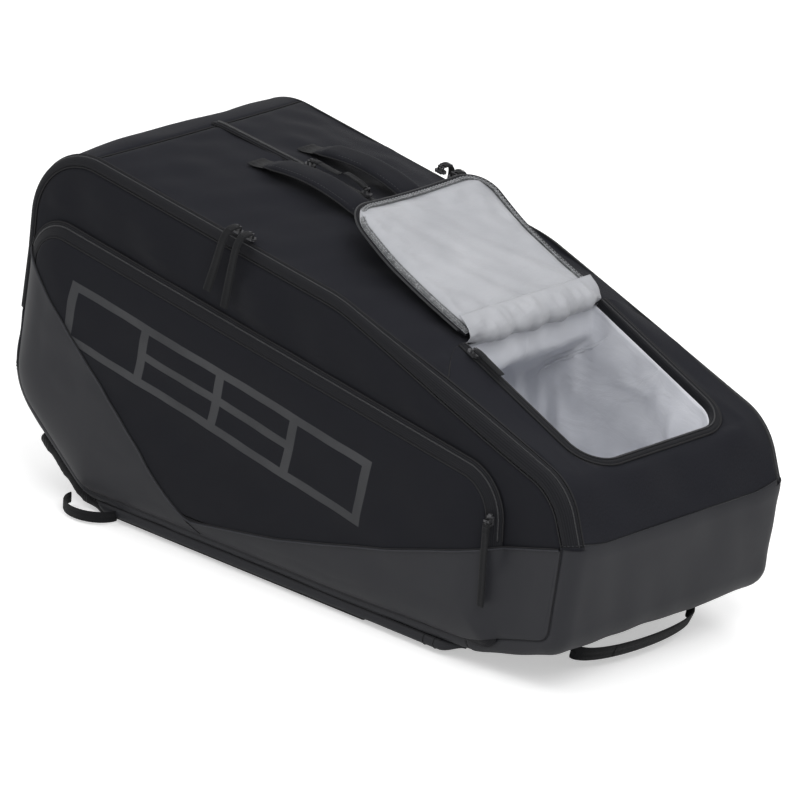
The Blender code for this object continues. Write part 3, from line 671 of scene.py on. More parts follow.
def painted_metal(name="Zip_metal"):
    """Dark painted slider, lighter along its edges as a painted highlight."""
    n = Nodes(name, rigid=True)
    edge = n.tree.nodes.new("ShaderNodeNewGeometry").outputs["Pointiness"]
    grain = n.noise(700, detail=3)
    # Painted highlight: the colour turns lighter where the surface is sharp-edged.
    edge_highlight = n.remap(n.add(edge, n.times(grain, 0.05)), 0.54, 0.62)
    color = n.mix(edge_highlight, (0.012, 0.012, 0.014), (0.085, 0.085, 0.090))
    rough = n.remap(grain, 0.3, 0.7, 0.30, 0.44)
    return n.finish(color, rough, n.bump(grain, 0.1, 0.0002), metallic=0.55)


def piping(name="Piping", tone=1.0):
    """Seam cord and dark thread lines."""
    n = Nodes(name)
    u, v = n.axes()
    twist = n.sine(n.times(n.add(u, v), 2 * math.pi / 0.0016))
    color = n.mix(n.remap(twist, -1.0, 1.0), scaled((0.007, 0.007, 0.008), tone),
                  scaled((0.016, 0.016, 0.018), tone))
    return n.finish(color, 0.7, n.bump(twist, 0.3, 0.0002), specular=0.3)


def air_mesh(name="Air_mesh"):
    """Spacer mesh: rounded holes over a darker ground."""
    n = Nodes(name)
    holes = n.cells(300, randomness=0.12, stretch=(1, 0.82, 1))
    ground = n.remap(holes, 0.22, 0.45, 0.0, 1.0, soft=True)
    fuzz = n.noise(1500, detail=2)
    color = n.mix(ground, (0.035, 0.036, 0.040), (0.006, 0.006, 0.007))
    color = n.mix(n.remap(fuzz, 0.4, 0.8, 0.0, 0.3), color, (0.050, 0.051, 0.056))
    normal = n.bump(n.minus(1.0, ground), 0.8, 0.0010)
    return n.finish(color, 0.85, normal, sheen=0.2, specular=0.3)


def moulded_plastic(name="Moulded_plastic"):
    """Black moulded acetal with a fine spark texture."""
    n = Nodes(name)
    grain = n.noise(2500, detail=2)
    cloud = n.noise(60, detail=2)
    color = n.mix(n.remap(cloud, 0.3, 0.7), (0.012, 0.012, 0.013), (0.020, 0.020, 0.022))
    return n.finish(color, n.remap(grain, 0.3, 0.7, 0.34, 0.5), n.bump(grain, 0.25, 0.0001))


def thread(name="Thread", color=(0.030, 0.031, 0.035)):
    n = Nodes(name)
    u, v = n.axes()
    twist = n.sine(n.times(n.add(u, v), 2 * math.pi / 0.0007))
    shade = n.mix(n.remap(twist, -1, 1), scaled(color, 0.6), color)
    return n.finish(shade, 0.55, n.bump(twist, 0.4, 0.0001), specular=0.4)


BLACK = black_fabric()
# Painted light: the upper panels' fabric is the side's black fabric made 1.25 times lighter, for the
# stronger light that falls on top.
TOP_BLACK_PAINTED_LIGHT = black_fabric("Top_fabric_painted_light", tone=1.25)
COATED = coated_fabric()
LINING = lining_fabric()
LINING_BINDING = binding_mesh()
# Painted light: the compartment's lining is the flap's lining made 1.75 times lighter, for the light
# falling into the opening.
TUB_LINING_PAINTED_LIGHT = lining_fabric("Compartment_lining_painted_light", tone=1.75)
INNER = inner_lining()
WEBBING = webbing_fabric()
TAPE = zip_tape()
COIL = coil()
METAL = painted_metal()
PIPING = piping()
MESH = air_mesh()
PLASTIC = moulded_plastic()
THREAD = thread()
PALE_THREAD = thread("Pale_thread", (0.42, 0.43, 0.45))
# Painted highlight: the coated fabric made 1.5 times lighter, for the cord along the coated fabric's raised
# upper edge.
COATED_EDGE_HIGHLIGHT = coated_fabric("Coated_edge_painted_highlight", tone=1.5)

# ---------------------------------------------------------------- gusset panels


def metres_of(points):
    """Texture coordinates in metres: along the rows and across the columns, measured on the surface."""
    along = arc_length(points)
    across = arc_length(np.swapaxes(points, 0, 1))
    middle_row, middle_column = points.shape[0] // 2, points.shape[1] // 2
    u = np.broadcast_to(along[:, middle_column][:, None], points.shape[:2])
    v = np.broadcast_to(across[:, middle_row][None, :], points.shape[:2])
    return np.stack([u, v], -1)


def edge_k(q):
    """How far round the edge a gusset panel reaches: to the zip along the zip, else to the side seam."""
    zipped = smooth((q - Q_ZIP_START) / 0.5) * (1 - smooth((q - Q_ZIP_END) / 0.12))
    return SEAM_K + (ZIP_K - SEAM_K) * zipped


def columns_across(inner=26, outer=8):
    """Fractions of the way across, from -1 to 1, denser at the rounded edges."""
    middle = np.linspace(-1, 1, 2 * inner + 1)
    rim = np.linspace(1, 2, outer + 1)[1:]
    return np.concatenate([-rim[::-1], middle, rim])


def gusset_panel(name, node, q_from, q_to, material, rows, soft=0.0012, seed=1, from_curve=None,
                 to_curve=None):
    """One panel of the gusset, from seam to seam, replacing its CAD node."""
    gap = SEAM_GAP / 2 / 0.012
    share = columns_across()
    q = np.linspace(q_from + gap * 0.3, q_to - gap * 0.3, rows)
    q, share = np.meshgrid(q, share, indexing="ij")
    limit = edge_k(q)
    k = np.where(np.abs(share) <= 1, share, np.sign(share) * (1 + (np.abs(share) - 1) * (limit - 1)))
    lerp = (q - q_from) / (q_to - q_from)
    reach = np.abs(np.clip(k, -1.3, 1.3))
    if from_curve is not None:
        q = q + from_curve(reach) * (1 - lerp)
    if to_curve is not None:
        q = q + to_curve(reach) * lerp
    points = skin(q, k)
    normal = normals_of(points)
    if (normal * (points - [0, 0, 0.18])).sum() < 0:
        normal = -normal
    from_end = np.minimum(lerp, 1 - lerp) * (q_to - q_from)
    border = np.minimum(1, from_end / 0.5) * smooth((2.0 - np.abs(share)) / 0.6)
    lift = soft * border * (0.6 * ripple(points, 0.16, seed) + 0.4 * ripple(points, 0.05, seed + 50))
    tuck = -0.0016 * (1 - smooth(from_end / 0.22))
    points = points + normal * (lift + tuck)[..., None]
    piece = sheet(name, points, metres_of(points), material, out=from_middle, lining=INNER)
    stand_in(piece, "bag", node)
    return piece


def hinge_curve(reach):
    """The seam over the shoe compartment runs along the hinge, then sweeps back to the zips."""
    swept = smooth((reach - 0.72) / 0.42)
    return -1.15 * swept


gusset_panel("head_end_skin", "head_end_panel", Q_CHAMFER_TOP, Q_HEAD_TOP, TOP_BLACK_PAINTED_LIGHT, 90, soft=0.0022,
             seed=3)
gusset_panel("top_skin", "top_panel", Q_HEAD_TOP, Q_HINGE, TOP_BLACK_PAINTED_LIGHT, 150, soft=0.0022, seed=5,
             to_curve=hinge_curve)
gusset_panel("boot_skin", "shoe_end_boot", Q_BOOT, FULL_TURN + Q_BACK_END, COATED, 110, soft=0.0015, seed=7)
gusset_panel("bottom_skin", "bottom_panel", Q_BACK_END, Q_CHAMFER_TOP, COATED, 90, soft=0.0008, seed=9)


def flap_frame(turned=0.0):
    """Matrix from the flap's frame (x from the hinge along the opening, y across, z out) to the bag."""
    axis = HINGE + FLAP_AXIS_RISE * Vector((math.sin(FLAP_SLOPE), 0, math.cos(FLAP_SLOPE)))
    return np.array(Matrix.Translation(axis) @ Matrix.Rotation(FLAP_SLOPE - turned, 4, "Y"))


def placed(points, matrix):
    return points @ matrix[:3, :3].T + matrix[:3, 3]


OPENING_FRAME = flap_frame()


def u_path(margin, start, straight=40, arc=22, across=44):
    """Points (a, y) round the opening, from the hinge's near end to its far end, and their corner marks."""
    end = FLAP_LENGTH + margin
    half = FLAP_HALF_WIDTH + margin
    radius = FLAP_RADIUS + margin
    side = np.stack([np.linspace(start, end - radius, straight), np.full(straight, -half)], -1)
    turn = np.linspace(-math.pi / 2, 0, 2 * arc + 1)
    bend = np.stack([end - radius + radius * np.cos(turn), radius - half + radius * np.sin(turn)], -1)
    low = np.stack([np.full(across, end), np.linspace(radius - half, half - radius, across)], -1)
    near = np.vstack([side[:-1], bend, low[1:-1]])
    far = np.vstack([side[:-1], bend])[::-1] * [1, -1]
    return np.vstack([near, far]), straight + arc - 1


def opening_points(margin, rise, start=-0.004):
    """The same path in space, at a height over the surround."""
    path, _ = u_path(margin, start)
    flat = np.column_stack([path, np.full(len(path), rise - FLAP_AXIS_RISE)])
    return placed(flat, OPENING_FRAME)


RIM_MARGIN = 0.0105


def surround_skin():
    """The fabric round the shoe opening: a U from one end of the hinge to the other, rim to outer seams."""
    path, corner = u_path(RIM_MARGIN, 0.0015)
    count = len(path)
    rim = placed(np.column_stack([path, np.full(count, -FLAP_AXIS_RISE)]), OPENING_FRAME)
    q_fine = np.linspace(6 * CORNER_Q, 8 * CORNER_Q + 6, 3000)
    q_in = np.interp(rim[:, 0], outline(MID, q_fine)[:, 0], q_fine)
    k_in = rim[:, 1] / (HALF_WIDTH - edge_radius(q_in))
    far_corner = count - 1 - corner
    marks = np.arange(count)
    down = np.minimum(np.interp(marks, [0, corner], [0, 1]),
                      np.interp(marks, [far_corner, count - 1], [1, 0]))
    q_start = Q_HINGE + hinge_curve(np.array(ZIP_K)) + 0.06
    q_out = q_start + (Q_BOOT - 0.04 - q_start) * down
    k_out = ZIP_K * np.interp(marks, [corner, far_corner], [-1, 1])
    share = np.concatenate([np.linspace(0, 0.1, 6)[:-1], np.linspace(0.1, 1, 26)])[:, None]
    q = q_in * (1 - share) + q_out * share
    k = k_in * (1 - share) + k_out * share
    start_fade = np.maximum(0, 1 - np.minimum(marks, count - 1 - marks) / (corner * 0.6))
    straight_q = Q_HINGE + hinge_curve(np.array(ZIP_K)) * share
    bent_q = Q_HINGE + hinge_curve(np.abs(k))
    q = q + (bent_q - straight_q) * start_fade
    points = skin(q, k)
    normal = normals_of(points)
    if (normal[..., 2]).sum() < 0:
        normal = -normal
    fade = smooth(np.minimum(share * 4, (1 - share) * 5))
    points = points + normal * (0.0018 * fade * ripple(points, 0.09, 11))[..., None]
    piece = sheet("surround_skin", points, np.stack([points[..., 0], points[..., 1]], -1), TOP_BLACK_PAINTED_LIGHT,
                  out=from_middle, lining=INNER)
    stand_in(piece, "bag", "shoe_surround_panel")


surround_skin()

# ---------------------------------------------------------------- sides

SIDE_Q = np.linspace(0, FULL_TURN, 561)[:-1]
SIDE_SEAM = outline(SIDE, SIDE_Q) + inward(SIDE, SIDE_Q) * edge_radius(SIDE_Q)[:, None]
FACE_CENTRE = np.array([-0.02, 0.19])
POCKET_Q = np.linspace(0, CORNER_Q * len(POCKET), 481)[:-1]
POCKET_LINE = outline(POCKET, POCKET_Q)
POCKET_CENTRE = np.array([-0.05, 0.14])
# Upper edge of the coated fabric on a side: down from the head end, then up to the boot's seam.
COATED_EDGE = np.array([(-0.402, 0.2790), (-0.385, 0.2650), (-0.347, 0.2300), (-0.254, 0.1420),
                        (-0.146, 0.0445), (-0.134, 0.0405), (-0.002, 0.0630), (0.151, 0.1007),
                        (0.287, 0.1406), (0.3700, 0.1630)])


def distance_to(line, points):
    """Distance of 2-D points to a closed, finely sampled line, and whether each lies inside it."""
    shape = points.shape[:-1]
    flat = points.reshape(-1, 2)
    a, b = line, np.roll(line, -1, 0)
    best = np.full(len(flat), 1e9)
    inside = np.zeros(len(flat), bool)
    for i in range(0, len(flat), 2000):
        p = flat[i:i + 2000, None]
        ab = (b - a)[None]
        t = np.clip(((p - a) * ab).sum(-1) / np.maximum((ab * ab).sum(-1), 1e-12), 0, 1)
        best[i:i + 2000] = np.sqrt((((a + ab * t[..., None]) - p) ** 2).sum(-1)).min(1)
        crosses = ((a[None, :, 1] > p[..., 1]) != (b[None, :, 1] > p[..., 1]))
        dz = (b - a)[None, :, 1]
        rise = np.where(np.abs(dz) < 1e-12, 1e-12, dz)
        at = a[None, :, 0] + (p[..., 1] - a[None, :, 1]) * (b - a)[None, :, 0] / rise
        inside[i:i + 2000] = ((crosses & (p[..., 0] < at)).sum(1) % 2) == 1
    return best.reshape(shape), inside.reshape(shape)


def pocket_height(distance, x, z):
    """How far the pocket stands out from the side panel, by distance from its edge."""
    body = 0.0016 + POCKET_BULGE * (1 - np.exp(-distance / 0.0175))
    p = np.stack([x, 0 * x, z], -1)
    soft = smooth((distance - POCKET_BAND) / 0.05)
    sag = 0.0016 * ripple(p, 0.22, 21) + 0.0007 * ripple(p * [1, 1, 1.6], 0.07, 22)
    return body + soft * sag


def place_side(flat, height, sign):
    return np.stack([flat[..., 0], sign * (HALF_WIDTH + height), flat[..., 1]], -1)


def fold(piece):
    """Bakes the piece's transform into its mesh."""
    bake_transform(piece)


def side_face(sign, name):
    share = (np.linspace(0, 1, 46)[:-1] ** 1.6)[:, None, None]
    start = outline(SIDE, SIDE_Q) + inward(SIDE, SIDE_Q) * (edge_radius(SIDE_Q) + SEAM_GAP)[:, None]
    flat = start * (1 - share) + FACE_CENTRE * share
    distance, _ = distance_to(SIDE_SEAM, flat)
    p = np.stack([flat[..., 0], 0 * flat[..., 0] + sign, flat[..., 1]], -1)
    above = smooth((flat[..., 1] - (POCKET_CORNERS[4][1] - 0.1456 * (flat[..., 0] - 0.1))) / 0.02)
    height = (0.0006 + 0.0020 * above) * smooth(distance / 0.03) * ripple(p * [1, 1, 0.6], 0.11, 31)
    height += 0.0035 * above * smooth(distance / 0.03)
    height -= 0.0014 * (1 - smooth(distance / 0.004))
    piece = sheet(f"{name}_side_face", place_side(flat, height, sign), flat, BLACK, out=sideways(sign),
                  lining=INNER, wrap=True, cap=True)
    fold(piece)
    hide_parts(f"{name}_side_lower", f"{name}_lid_panel")


def pocket_rings(distances):
    return np.stack([POCKET_LINE + inward(POCKET, POCKET_Q) * d for d in distances])


def court_print():
    """The pocket's fabric with a glossy print of tennis court lines, drawn in the texture."""
    material = black_fabric("Pocket_fabric")
    n = Nodes.reopened(material)
    x, z = n.axes()
    # The court is drawn in a slanting field: its long edges run down towards the shoe end.
    low = n.add(n.times(x, -0.175), 0.1330)
    high = n.add(n.times(x, -0.160), 0.2060)
    t = n.math("DIVIDE", n.minus(z, low), n.minus(high, low))
    left = n.add(n.times(t, 0.012), -0.322)
    s = n.math("DIVIDE", n.minus(x, left), 0.434)

    def within(value, a, b, soft):
        rise = n.remap(value, a - soft, a + soft)
        fall = n.remap(value, b - soft, b + soft, 1.0, 0.0)
        return n.times(rise, fall)

    ss, st = 0.0008, 0.004
    field = n.times(within(s, 0, 1, ss), within(t, 0, 1, st))
    hole = None
    wide, tall = 0.026, 0.13
    for a, b, c, d in ((wide, 0.24, tall, 1 - tall), (0.24 + wide, 0.5 - wide / 2, tall, 0.5 - tall / 2),
                       (0.24 + wide, 0.5 - wide / 2, 0.5 + tall / 2, 1 - tall),
                       (0.5 + wide / 2, 0.76 - wide, tall, 0.5 - tall / 2),
                       (0.5 + wide / 2, 0.76 - wide, 0.5 + tall / 2, 1 - tall),
                       (0.76, 1 - wide, tall, 1 - tall)):
        box = n.times(within(s, a, b, ss), within(t, c, d, st))
        hole = box if hole is None else n.math("MAXIMUM", hole, box)
    mask = n.minus(field, hole, clamp=True)
    shader = n.shader.inputs
    cloth_color = shader["Base Color"].links[0].from_socket
    cloth_rough = shader["Roughness"].links[0].from_socket
    cloud = n.noise(12, detail=3)
    film = n.mix(n.remap(cloud, 0.3, 0.75), (0.034, 0.035, 0.038), (0.060, 0.061, 0.065))
    n.put(shader["Base Color"], n.mix(mask, cloth_color, film))
    rough = n.tree.nodes.new("ShaderNodeMix")
    n.put(rough.inputs[0], mask)
    n.put(rough.inputs[2], cloth_rough)
    n.put(rough.inputs[3], 0.36)
    n.put(shader["Roughness"], rough.outputs[0])
    edge = n.bump(mask, 0.5, 0.0004, shader["Normal"].links[0].from_socket)
    n.put(shader["Normal"], edge)
    return material


POCKET_FABRIC = court_print()


def pocket(sign, name):
    """A side pocket: a bulged face and the band with its zip round it."""
    distances = [0.0, 0.0005, 0.0012, 0.0022, 0.0035, 0.005, 0.007, 0.009, 0.011, 0.013, 0.0142,
                 POCKET_BAND - SEAM_GAP / 2]
    flat = pocket_rings(distances)
    d = np.broadcast_to(np.array(distances)[:, None], flat.shape[:2])
    height = pocket_height(d, flat[..., 0], flat[..., 1])
    height -= 0.0012 * np.exp(-((d - 0.0042) / 0.0007) ** 2)
    height -= 0.0012 * smooth((d - POCKET_BAND + 0.0022) / 0.0020)
    run = np.linspace(0, 2.1, len(POCKET_Q))
    uvs = np.stack(np.broadcast_arrays(run[None, :], d), -1)
    band = sheet(f"{name}_pocket_band", place_side(flat, height, sign), uvs, TAPE, out=sideways(sign),
                 thickness=0.0012, wrap=True)
    fold(band)
    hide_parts(f"{name}_pocket_lower")
    first = POCKET_LINE + inward(POCKET, POCKET_Q) * (POCKET_BAND + SEAM_GAP / 2)
    second = POCKET_LINE + inward(POCKET, POCKET_Q) * 0.0178
    share = (np.linspace(0, 1, 44)[:-1] ** 1.35)[:, None, None]
    inner = second * (1 - share) + POCKET_CENTRE * share
    rim = np.linspace(0, 1, 6)[:-1, None, None]
    flat = np.concatenate([first * (1 - rim) + second * rim, inner])
    distance, _ = distance_to(POCKET_LINE, flat)
    height = pocket_height(distance, flat[..., 0], flat[..., 1])
    height -= 0.0013 * (1 - smooth((distance - POCKET_BAND) / 0.0024))
    face = sheet(f"{name}_pocket_face_skin", place_side(flat, height, sign), flat * [-sign, 1],
                 POCKET_FABRIC,
                 out=sideways(sign), lining=INNER, wrap=True, cap=True)
    fold(face)
    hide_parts(f"{name}_pocket_face")


for side_sign, side_name in BOTH_SIDES:
    side_face(side_sign, side_name)
    pocket(side_sign, side_name)


def coated_side(sign, name):
    """The coated fabric low on a side: a lens between the side seam and its own stitched upper edge."""
    first, last = (np.argmin(((SIDE_SEAM - point) ** 2).sum(1)) for point in COATED_EDGE[[0, -1]])
    # The seam runs clockwise from the shoe end's foot; the stretch from the head end to the boot is wanted.
    count = len(SIDE_SEAM)
    index = np.arange(first, (last - count if last > first else last) - 1, -1) % count
    lower = SIDE_SEAM[index]
    run = arc_length(lower)
    wanted = np.linspace(0, run[-1], 260)
    lower = np.column_stack([np.interp(wanted, run, lower[:, c]) for c in (0, 1)])
    climb = np.maximum.accumulate(lower[:, 0]) + wanted * 0.05
    share = (climb - climb[0]) / (climb[-1] - climb[0])
    x_top = lower[0, 0] + (lower[-1, 0] - lower[0, 0]) * share
    z_top = np.interp(x_top, COATED_EDGE[:, 0], COATED_EDGE[:, 1])
    upper = np.column_stack([x_top, z_top])
    upper[0], upper[-1] = lower[0], lower[-1]
    v = np.concatenate([np.linspace(0, 0.12, 9)[:-1], np.linspace(0.12, 0.95, 30),
                        [0.965, 0.98, 0.99, 1.0]])
    flat = lower[None] * (1 - v[:, None, None]) + upper[None] * v[:, None, None]
    seam_d, _ = distance_to(SIDE_SEAM, flat)
    pocket_d, inside = distance_to(POCKET_LINE, flat)
    x, z = flat[..., 0], flat[..., 1]
    plateau = POCKET_BULGE * smooth((0.330 - x) / 0.085)
    own = plateau * (1 - np.exp(-seam_d / 0.0185)) + 0.0016 * smooth(seam_d / 0.004)
    own += 0.0010 * ripple(np.stack([x, 0 * x, z], -1), 0.10, 41) * smooth(seam_d / 0.03)
    under = np.where(inside, pocket_height(pocket_d, x, z), 0.0006)
    gap_v = (upper - lower)[None, :, 1] * (1 - v[:, None])
    near_edge = smooth(1 - gap_v / 0.030)
    height = np.maximum(own, under + 0.0006) * (1 - near_edge) + (under + 0.0011) * near_edge
    piece = sheet(f"{name}_coated_side", place_side(flat, height, sign), flat, COATED, out=sideways(sign),
                  thickness=0.0010)
    fold(piece)
    edge = place_side(flat[-1], height[-1] + 0.0004, sign)[2:-2]
    # The cord on the upper edge uses the lighter copy of the coated fabric: a painted highlight.
    line = tube(f"{name}_coated_edge", edge, 0.0008, COATED_EDGE_HIGHLIGHT, sides=8, flatten=1.4)
    fold(line)
    slope = COATED_EDGE[4] - COATED_EDGE[3]
    slope = slope / np.linalg.norm(slope)
    drop = np.linspace(0, (COATED_EDGE[4, 1] - 0.0275) / -slope[1], 24)
    seam = COATED_EDGE[4] + slope * drop[:, None]
    nearest = ((flat.reshape(-1, 2)[None] - seam[:, None]) ** 2).sum(-1).argmin(1)
    joint = tube(f"{name}_coated_join", place_side(seam, height.ravel()[nearest] + 0.0003, sign), 0.0006,
                 PIPING, sides=6)
    fold(joint)
    # Painted shadow: a dark cord laid just above the upper edge stands for the shade along it.
    dark = place_side(flat[-1] + [0, 0.0016], height[-1] - 0.0002, sign)[4:-4]
    shadow = tube(f"{name}_coated_edge_shadow_cord", dark, 0.0007, PIPING, sides=8)
    fold(shadow)


def skin_normal(q, k):
    """Unit outward normals of the skin, and its direction round the outline."""
    forward = skin(q + 0.04, k) - skin(q - 0.04, k)
    across = skin(q, k + 0.02) - skin(q, k - 0.02)
    normal = np.cross(forward, across)
    normal = unit(normal)
    outward = ((skin(q, k) - [0, 0, 0.18]) * normal).sum(-1, keepdims=True)
    return np.where(outward < 0, -normal, normal)


def skin_line(q_from, q_to, count, k, rise=0.0):
    q = np.linspace(q_from, q_to, count)
    k = np.full(count, float(k))
    return skin(q, k) + skin_normal(q, k) * rise


def main_zip(sign, name):
    """The zip band over the rounded edge: tape, coil, seam cords and end stop."""
    lid = f"{name}_lid"
    inset = 0.035
    k = np.concatenate([[ZIP_K + 0.03], np.linspace(ZIP_K + 0.05, SEAM_K - 0.09, 14),
                        [SEAM_K - 0.05, SEAM_K - 0.03]])
    q, k = np.meshgrid(np.linspace(Q_ZIP_START + 0.3, Q_ZIP_END, 320), k * sign, indexing="ij")
    points = skin(q, k)
    normal = skin_normal(q, k)
    reach = np.abs(k)
    groove = -0.0013 * np.exp(-((reach - ZIP_K - 0.155) / inset) ** 2)
    groove -= 0.0010 * smooth((reach - SEAM_K + 0.12) / 0.09)
    puff = 0.0007 * np.sin(math.pi * np.clip((reach - ZIP_K) / (SEAM_K - ZIP_K), 0, 1))
    points = points + normal * (groove + puff)[..., None]
    band = sheet(f"{name}_zip_band", points, metres_of(points), TAPE, out=sideways(sign), thickness=0.0010)
    stand_in(band, lid, f"{name}_lid_zip_half")
    teeth = tube(f"{name}_zip_coil",
                 skin_line(Q_ZIP_START + 0.35, Q_ZIP_END - 0.1, 420, sign * (ZIP_K + 0.155), -0.0006),
                 0.00085, COIL, sides=8)
    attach(teeth, lid)
    cord = tube(f"{name}_zip_cord",
                skin_line(Q_ZIP_START, Q_ZIP_END + 0.12, 420, sign * (ZIP_K - 0.02), -0.0002),
                0.0010, PIPING, sides=8)
    stand_in(cord, "bag", f"{name}_gusset_zip_half")
    low = tube(f"{name}_band_seam", skin_line(Q_ZIP_START + 0.2, Q_ZIP_END, 420, sign * 1.999, -0.0004),
               0.00085, PIPING, sides=8)
    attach(low, lid)
    stop_q = np.linspace(Q_ZIP_END - 0.95, Q_ZIP_END + 0.05, 12)
    stop_k = np.linspace(ZIP_K + 0.02, SEAM_K - 0.02, 12)
    q, k = np.meshgrid(stop_q, stop_k * sign, indexing="ij")
    edge = np.minimum(smooth((q - stop_q[0]) / 0.12), 1)
    points = skin(q, k) + skin_normal(q, k) * (0.0006 + 0.0010 * edge)[..., None]
    stop = sheet(f"{name}_zip_stop", points, metres_of(points), BLACK, out=sideways(sign), thickness=0.0010)
    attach(stop, lid)


def side_seams(sign, name):
    """Cords in the seam between a side and the gusset where no zip runs."""
    lower = tube(f"{name}_seam_cord",
                 skin_line(Q_ZIP_END + 0.1, FULL_TURN + Q_ZIP_START + 0.1, 520, sign * 1.999, -0.0003),
                 0.00095, PIPING, sides=8)
    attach(lower, "bag")


def cross_seams():
    """Cords in the seams across the gusset."""
    for name, q, edge in (("head_seam", Q_HEAD_TOP, ZIP_K), ("boot_seam", Q_BOOT, 1.98),
                          ("chamfer_seam", Q_CHAMFER_TOP, 1.98),
                          ("base_seam", FULL_TURN + Q_BACK_END, 1.98)):
        k = np.linspace(-edge, edge, 160)
        q = np.full(160, float(q))
        points = skin(q, k) + skin_normal(q, k) * -0.0009
        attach(tube(name, points, 0.0009, PIPING, sides=8), "bag")
    for sign, name in BOTH_SIDES:
        k = np.linspace(0.76, ZIP_K, 60) * sign
        q = Q_HINGE + hinge_curve(np.abs(k))
        points = skin(q, k) + skin_normal(q, k) * -0.0009
        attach(tube(f"{name}_hinge_seam", points, 0.0009, PIPING, sides=8), "bag")
    k = np.linspace(-1.9, 1.9, 150)
    q = np.full(150, Q_BOOT + 0.28)
    rows = stitches("boot_stitches", skin(q, k) + skin_normal(q, k) * 0.0002, THREAD,
                    lambda p: (p - np.array([0.2, 0, 0.1])) / np.linalg.norm(p - np.array([0.2, 0, 0.1])))
    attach(rows, "bag")


for side_sign, side_name in BOTH_SIDES:
    coated_side(side_sign, side_name)
    main_zip(side_sign, side_name)
    side_seams(side_sign, side_name)
cross_seams()

# ---------------------------------------------------------------- shoe compartment


def shoe_rim():
    """The bound, zipped rim of the shoe opening."""
    path, _ = u_path(0.0, 0.0015)
    profile = [(RIM_MARGIN + 0.0006, 0.0002), (RIM_MARGIN - 0.0005, 0.0018), (RIM_MARGIN - 0.0020, 0.0026),
               (0.0075, 0.0029), (0.0062, 0.0026), (0.0052, 0.0020), (0.0042, 0.0026), (0.0026, 0.0027),
               (0.0014, 0.0018), (0.0008, -0.0004), (0.0006, -0.0040), (0.0004, -0.0075)]
    rows = [placed(np.column_stack([u_path(m, 0.0015)[0], np.full(len(path), rise - FLAP_AXIS_RISE)]),
                   OPENING_FRAME)
            for m, rise in profile]
    points = np.stack(rows)
    rim = sheet("shoe_rim_tape", points, metres_of(points), TAPE, thickness=0.0009,
                out=lambda c: np.tile([0.3, 0.0, 1.0], (len(c), 1)))
    stand_in(rim, "bag", "shoe_rim_zip")
    cord = tube("shoe_rim_cord", opening_points(RIM_MARGIN + 0.0002, 0.0010, 0.0015), 0.0011, PIPING,
                sides=8)
    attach(cord, "bag")
    teeth = tube("shoe_rim_coil", opening_points(0.0035, 0.0026, 0.0030), 0.0009, COIL, sides=8)
    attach(teeth, "bag")


def shoe_tub():
    """The shoe compartment's lining: gathered at the rim, it widens under the top to a flat floor."""
    low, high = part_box("shoe_liner")
    rim, _ = u_path(0.0002, -0.004)
    back_count = 70
    back = np.column_stack([np.full(back_count, rim[0, 0]),
                            np.linspace(rim[-1, 1], rim[0, 1], back_count + 2)[1:-1]])
    loop = np.vstack([rim, back])
    top = placed(np.column_stack([loop, np.full(len(loop), -FLAP_AXIS_RISE - 0.006)]), OPENING_FRAME)
    wall = 0.0035
    centre = np.array([(low.x + high.x) / 2, 0])
    half = np.array([(high.x - low.x) / 2 - wall, high.y - wall])
    from_centre = top[:, :2] - [0.262, 0]
    angle = np.arctan2(from_centre[:, 1] / half[1], from_centre[:, 0] / half[0])
    power = 0.34
    box = np.column_stack([half[0] * np.sign(np.cos(angle)) * np.abs(np.cos(angle)) ** power,
                           half[1] * np.sign(np.sin(angle)) * np.abs(np.sin(angle)) ** power]) + centre
    floor_z = low.z + wall
    rings = []
    depth = np.concatenate([np.linspace(0, 0.2, 10)[:-1], np.linspace(0.2, 1, 30)])
    for d in depth:
        backness = smooth((0.205 - top[:, 0]) / 0.030)
        spread_out = (smooth((d - 0.14 * backness) / (0.42 - 0.08 * backness)) ** 0.8)[:, None]
        xy = top[:, :2] * (1 - spread_out) + box * spread_out
        bottom = floor_z + 0.014
        z = top[:, 2] * (1 - d) + bottom * d
        rings.append(np.column_stack([xy, z]))
    for turn in np.linspace(0.15, 1, 6) * math.pi / 2:
        edge = box - (box - centre) * 0.10 * (1 - math.cos(turn))
        height = floor_z + 0.014 * (1 - math.sin(turn))
        rings.append(np.column_stack([edge, np.full(len(edge), height)]))
    for shrink in np.linspace(0.86, 0.06, 16):
        rings.append(np.column_stack([centre + (box - centre) * shrink, np.full(len(box), floor_z)]))
    points = np.stack(rings)
    inner = points - np.array([*centre, 0.16])
    inner[..., 2] *= 0.2
    inner = unit(inner)
    row_share = np.linspace(0, 1, len(rings))
    hang = np.sin(math.pi * np.clip(row_share / 0.85, 0, 1)) ** 0.7
    pleats = ripple(points * [1, 1, 0.30], 0.045, 61) + 0.6 * ripple(points * [1, 1, 0.5], 0.020, 62)
    floor_folds = ripple(points, 0.05, 63)
    points = points - inner * (0.0042 * hang[:, None] * (pleats + 0.4))[..., None]
    points[..., 2] += np.where(row_share > 0.78, 0.0012, 0.0)[:, None] * floor_folds
    # Its material is the lighter copy of the lining: painted light inside the compartment.
    piece = sheet("shoe_lining", points, metres_of(points), TUB_LINING_PAINTED_LIGHT, wrap=True, cap=True,
                  thickness=0.0012,
                  out=lambda c: np.array([*centre, 0.20]) - c)
    stand_in(piece, "bag", "shoe_liner")


def flap_grid(outline_points, rings, centre_a):
    """Concentric grid of (a, y) from a closed outline to a centre line, and the share inwards."""
    spine = np.column_stack([np.full(len(outline_points), centre_a), 0 * outline_points[:, 1]])
    share = np.array(rings)[:, None, None]
    return outline_points[None] * (1 - share) + spine[None] * share


def flap_bend(a, y):
    """Height of the open flap's rest shape over its own plane: it curls a little at the free corners."""
    reach = np.clip(a / FLAP_LENGTH, 0, 1.1)
    droop = smooth((reach - 0.55) / 0.5) * (np.abs(y) / FLAP_HALF_WIDTH) ** 2
    return 0.0045 * np.sin(math.pi * reach) - 0.0060 * droop


